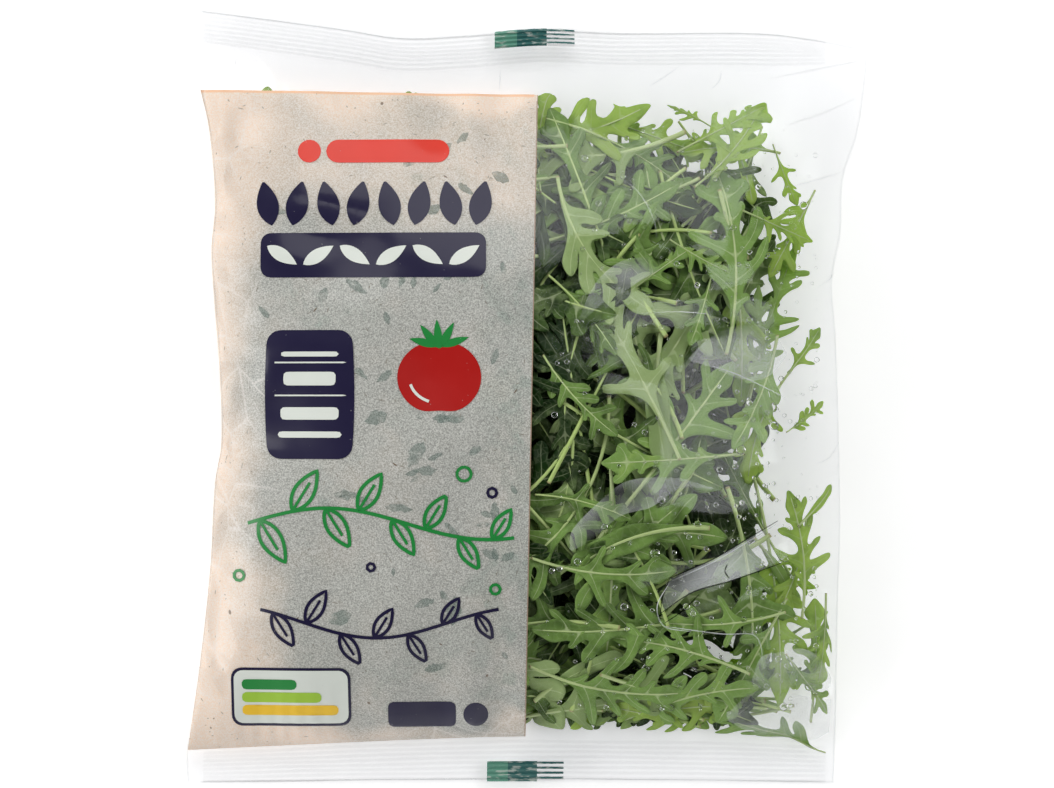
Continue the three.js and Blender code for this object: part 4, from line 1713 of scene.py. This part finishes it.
        def surface(u: Array, v: Array) -> Array:
            """Returns the place in the bag of a point of the leaf's middle layer."""
            angle = pose.heading + pose.bend * u
            if abs(pose.bend) < 1e-5:
                run_x, run_y = u * math.cos(pose.heading), u * math.sin(pose.heading)
            else:
                run_x = (np.sin(angle) - math.sin(pose.heading)) / pose.bend
                run_y = (math.cos(pose.heading) - np.cos(angle)) / pose.bend
            x = pose.centre[0] + run_x - v * np.sin(angle)
            y = pose.centre[1] + run_y + v * np.cos(angle)
            x, y = self.squeezed(x, y)
            front = self.map.sample(self.map.front, x, y) - pose.gap
            back = self.map.sample(self.map.back, x, y) + 1.0
            ripples = np.sin(2 * math.pi * u / pose.wavelength + pose.shift)
            flutter = np.sin(2 * math.pi * u / (0.45 * pose.wavelength) + 2 * pose.shift + 0.2 * v)
            lift = pose.roll * v + pose.pitch * u + pose.wave * ripples * (0.35 + np.abs(v) / 14)
            lift = lift + 0.35 * flutter * np.minimum(np.abs(v) / 6, 1.4)
            lift = lift + pose.curl * v * v + pose.vee * np.abs(v)
            height = lerp(front, back, pose.depth) + lift
            height = soft_above(soft_below(height, front, 0.8), back, 0.8)
            return np.stack([x, y, np.minimum(height, front + 0.2)], 1)

        side = -1.0 if pose.flipped else 1.0
        u = (points[:, 0] - middle_x) * pose.size
        v = points[:, 1] * pose.size * side
        step = 0.4
        place = surface(u, v)
        normal = np.cross(surface(u + step, v) - place, surface(u, v + step) - place)
        normal /= np.maximum(np.linalg.norm(normal, axis=1, keepdims=True), 1e-9)
        return place + normal * points[:, 2:3] * side

    def squeezed(self, x: Array, y: Array) -> tuple[Array, Array]:
        """Returns places eased inside the bag's outline."""
        top = self.top_edge(x) + sum(rise * hump(x, peek, 3) for peek, rise in self.peeks)
        bottom = self.shape.lower_edge(x) + 1.2 - 6 * smoothstep(84, 97, x)
        y = soft_above(soft_below(y, top, 1.5), bottom, 2.5)
        x = soft_above(soft_below(x, self.shape.right(y) - 1.6, 2.5), self.shape.left(y) + 2.2, 2.5)
        return x, y

    def scatter(self) -> list[tuple[Pattern, LeafPose]]:
        """Draws every leaf's pattern and pose: the leaves that show clearly, then layer by layer."""
        laid = [self.shown_pose(leaf) for leaf in self.shown]
        for kind, layer in self.layers:
            for number in range(layer.count):
                pattern = pick(self.patterns[kind], number)
                laid.append((pattern, self.pose(pattern, layer, number)))
        return laid

    def build(self) -> None:
        """Lays the leaves and gathers them in groups for the pieces."""
        self.blades: list[Part] = []
        self.stalks: list[Part] = []
        for pattern, pose in self.scatter():
            blade = pattern.coarse if pose.depth > self.fine_depth else pattern.blade
            for flat, group in ((blade, self.blades), (pattern.stalk, self.stalks)):
                toned = flat.marks.copy()
                toned[:, 1] = pose.tone
                triangles = flat.triangles[:, ::-1] if pose.flipped else flat.triangles
                group.append(Part(self.lay(flat.points, pattern, pose), triangles, toned))

    def grouped(self, parts: list[Part]) -> list[Part]:
        """Joins parts to groups that each stay under the triangle limit."""
        groups: list[list[Part]] = [[]]
        count = 0
        for part in parts:
            if count + len(part.triangles) > self.piece_limit:
                groups.append([])
                count = 0
            groups[-1].append(part)
            count += len(part.triangles)
        return [Part.joined(group) for group in groups]

    def pieces(self) -> None:
        """Makes the pieces of blades and of stalks."""
        self.build()
        leaf, stalk = LeafSkin().material("leaf_green"), StalkSkin().material("stalk_green")
        for name, parts, finish, slot in (
            ("leaves", self.blades, leaf, Slot.LEAF), ("stalks", self.stalks, stalk, Slot.STALK),
        ):
            for number, part in enumerate(self.grouped(parts), 1):
                add_piece(part.mesh(f"{name}_{number}"), finish)

    def nearness(self) -> Array:
        """Returns how near the leaves come to the front film, on the height map's grid: 1 at the film."""
        top = np.full(self.map.front.shape, -50.0)
        for part in self.blades:
            spots = self.map.cell(part.points[:, 0], part.points[:, 1])
            i, j = (np.clip(np.round(at).astype(int), 0, count - 1) for at, count in zip(spots, top.shape))
            np.maximum.at(top, (i, j), part.points[:, 2])
        return np.exp(-np.maximum(self.map.front - top - 1.0, 0) / 2.2)


@dataclass
class Drops:
    """Small drops of water on the inside of the front film, mostly in the window."""

    map: HeightMap
    count: int = 640
    seed: int = 31
    across: Span = (6, 94)
    flatness: float = 0.55

    def piece(self) -> bpy.types.Object:
        """Makes the drops as one piece."""
        draw = np.random.default_rng(self.seed)
        ball = bmesh.new()
        bmesh.ops.create_icosphere(ball, subdivisions=2, radius=1.0)
        unit = Part.of(ball)
        ball.free()
        size = draw.gamma(1.6, 0.2, self.count) + 0.16
        right = draw.uniform(size=self.count) < 0.6
        x = np.where(right, draw.normal(68, 16, self.count), draw.uniform(*self.across, self.count))
        x = np.clip(x, *self.across)
        y = draw.uniform(-104, 88, self.count)
        z = self.map.sample(self.map.front, x, y) - size * self.flatness - 0.1
        places = np.stack([x, y, z], 1)
        points = places[:, None] + unit.points * size[:, None, None] * [1, 1, self.flatness]
        starts = np.arange(self.count)[:, None, None] * len(unit.points)
        mesh = Part(points.reshape(-1, 3), (unit.triangles + starts).reshape(-1, 3)).mesh("water_drops")
        return add_piece(mesh, WaterSkin().material("water"))


# The studio


@dataclass(frozen=True)
class Softbox:
    """A soft light: the way to it, how far off it is, its size, and its brightness against a white floor."""

    azimuth: float
    from_above: float
    distance: float
    size: Span
    brightness: float

    def add(self, name: str) -> None:
        """Adds the light, aimed at the bag."""
        data = bpy.data.lights.new(name, "AREA")
        data.shape = "RECTANGLE"
        data.size, data.size_y = self.size
        data.energy = self.brightness * math.pi * self.size[0] * self.size[1]
        light = bpy.data.objects.new(name, data)
        tilt, turn = math.radians(self.from_above), math.radians(self.azimuth)
        light.rotation_euler = (tilt, 0, turn + math.pi / 2)
        away = (math.sin(tilt) * math.cos(turn), math.sin(tilt) * math.sin(turn), math.cos(tilt))
        light.location = tuple(self.distance * part for part in away)
        bpy.context.scene.collection.objects.link(light)


@dataclass
class Studio:
    """The camera straight above the bag, a pale floor, softboxes and a dim surround."""

    view_width: float = 342.6
    view_centre: Point = (0.16, 0.65)
    focus_height: float = 21.0
    camera_height: float = 1700.0
    sensor: float = 36.0
    floor_size: float = 24.0
    floor_drop: float = 0.0002
    softboxes: tuple[Softbox, ...] = (
        Softbox(88, 46, 1.6, (1.4, 0.8), 3.2),
        Softbox(12, 29, 1.5, (0.85, 0.6), 3.2),
        Softbox(305, 66, 1.5, (1.2, 0.5), 1.0),
        Softbox(190, 62, 1.5, (1.0, 0.6), 5.4),
    )

    def camera(self) -> None:
        """Adds the camera, looking straight down with +Y up."""
        data = bpy.data.cameras.new("camera")
        data.sensor_width = self.sensor
        data.lens = self.sensor * (self.camera_height - self.focus_height) / self.view_width
        camera = bpy.data.objects.new("camera", data)
        camera.location = (self.view_centre[0] * MM, self.view_centre[1] * MM, self.camera_height * MM)
        bpy.context.scene.collection.objects.link(camera)
        bpy.context.scene.camera = camera

    def floor(self) -> None:
        """Adds the floor, just below the bag."""
        sheet = bmesh.new()
        bmesh.ops.create_grid(sheet, x_segments=1, y_segments=1, size=self.floor_size / 2)
        mesh = bpy.data.meshes.new("floor")
        sheet.to_mesh(mesh)
        sheet.free()
        mesh.materials.append(FloorFinish().material("floor"))
        floor = bpy.data.objects.new("floor", mesh)
        floor.location.z = -self.floor_drop
        bpy.context.scene.collection.objects.link(floor)

    def surround(self) -> None:
        """Lights the surround: dark overhead, where the film would mirror it, and bright to the sides."""
        world = bpy.data.worlds.new("surround")
        world.use_nodes = True
        nodes, links = world.node_tree.nodes, world.node_tree.links
        place = nodes.new("ShaderNodeTexCoord")
        parts = nodes.new("ShaderNodeSeparateXYZ")
        ramp = nodes.new("ShaderNodeMapRange")
        ramp.inputs["From Min"].default_value, ramp.inputs["From Max"].default_value = 0.68, 0.15
        ramp.inputs["To Min"].default_value, ramp.inputs["To Max"].default_value = 0.012, 0.9
        links.new(place.outputs["Generated"], parts.inputs[0])
        links.new(parts.outputs["Z"], ramp.inputs["Value"])
        links.new(ramp.outputs[0], nodes["Background"].inputs["Strength"])
        nodes["Background"].inputs["Color"].default_value = WHITE
        bpy.context.scene.world = world

    def build(self) -> None:
        """Sets up the whole studio."""
        self.camera()
        self.floor()
        self.surround()
        for number, softbox in enumerate(self.softboxes, 1):
            softbox.add(f"softbox_{number}")
        bpy.context.scene.view_settings.view_transform = "Standard"


# Putting it together


@dataclass
class SaladBag:
    """The whole bag."""

    shape: BagShape = field(default_factory=BagShape)

    def __post_init__(self) -> None:
        """Works out the height map and the film's points."""
        self.map = HeightMap(self.shape)
        self.film = FilmBag(self.shape)

    def surface(self, x: Array, y: Array) -> Array:
        """Returns the height of the front film."""
        return self.shape.heights(x, y)[0]

    def film_piece(self) -> bpy.types.Object:
        """Makes the clear film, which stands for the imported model's bag."""
        piece = add_piece(self.film.film_mesh(), ClearFilm().material("clear_film"))
        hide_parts("bag")
        return piece

    def printed_piece(self, nearness: Array) -> bpy.types.Object:
        """Makes the printed sheet, which wraps from the front round the left fold to the back seam."""
        points = self.film.moved(self.film.print_points(), self.film.print_lift)
        x, y = points[..., 0], points[..., 1]
        # backing is 1 where leaves lie behind the print and 0 where the paper is painted peach as painted
        # backlight
        below_top = self.shape.print_top(x) - y + 3 * ripple(x, y, 40, 3)
        top = 0.5 * smoothstep(0, 10, below_top) + 0.5 * smoothstep(22, 56, below_top)
        left = smoothstep(-13, 12, x - self.shape.backed_from(y) + 2 * ripple(x, y, 34, 4))
        low = 0.5 + 0.5 * smoothstep(-112, -104, y + 2 * ripple(x, y, 24, 5))
        backing = top * left * low
        # painted shadow of the leaves near the film, faint and even on the back half
        leaf_shadow = self.map.sample(nearness, x, y) * backing
        half = points.shape[1] // 2
        leaf_shadow[:, half:] = 0.15
        edge = np.zeros_like(x)
        edge[-1] = -1
        edge[:, 0] = 1
        by_side = 1 - smoothstep(6, 19, x - self.shape.left(y) + 3 * ripple(x, y, 30, 6))
        by_corner = smoothstep(-48, -30, x) * (1 - smoothstep(-108, -100, y + ripple(x, y, 20, 7)))
        crumple = np.maximum(by_side * smoothstep(-112, -90, y), by_corner)
        marks = np.stack([backing, leaf_shadow, edge, crumple], 2)
        mesh = self.film.printed("printed_film", points, marks)
        return add_piece(mesh, PrintedFilm().material("printed_film"))

    def mark_pieces(self) -> None:
        """Makes the registration mark of each seal, as generic blocks of ink."""
        for upper, name in enumerate(("lower_mark", "upper_mark")):
            points = self.film.moved(self.film.mark_points(bool(upper)), self.film.mark_lift)
            height = np.linspace(0, 1, points.shape[0])[:, None] * np.ones(points.shape[1])
            marks = np.stack([height, 0 * height, 0 * height, 0 * height + 1], 2)
            left, right = self.film.mark_sides[upper]
            finish = MarkInk(lerp(left, right, 0.3), lerp(left, right, 0.66))
            add_piece(self.film.printed(name, points, marks), finish.material(name))


def main() -> None:
    """Builds the bag, its print and its leaves, then the studio."""
    logging.basicConfig(level=logging.INFO, format="%(message)s")
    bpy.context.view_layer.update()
    bag = SaladBag()
    bag.film_piece()
    heap = Heap(bag.map, bag.shape)
    heap.pieces()
    bag.printed_piece(heap.nearness())
    bag.mark_pieces()
    FrontPrint(bag.surface).pieces()
    PaintedFilmLight(bag.shape, bag.surface).pieces()
    Drops(bag.map).piece()
    Studio().build()


if __name__ == "__main__":
    main()
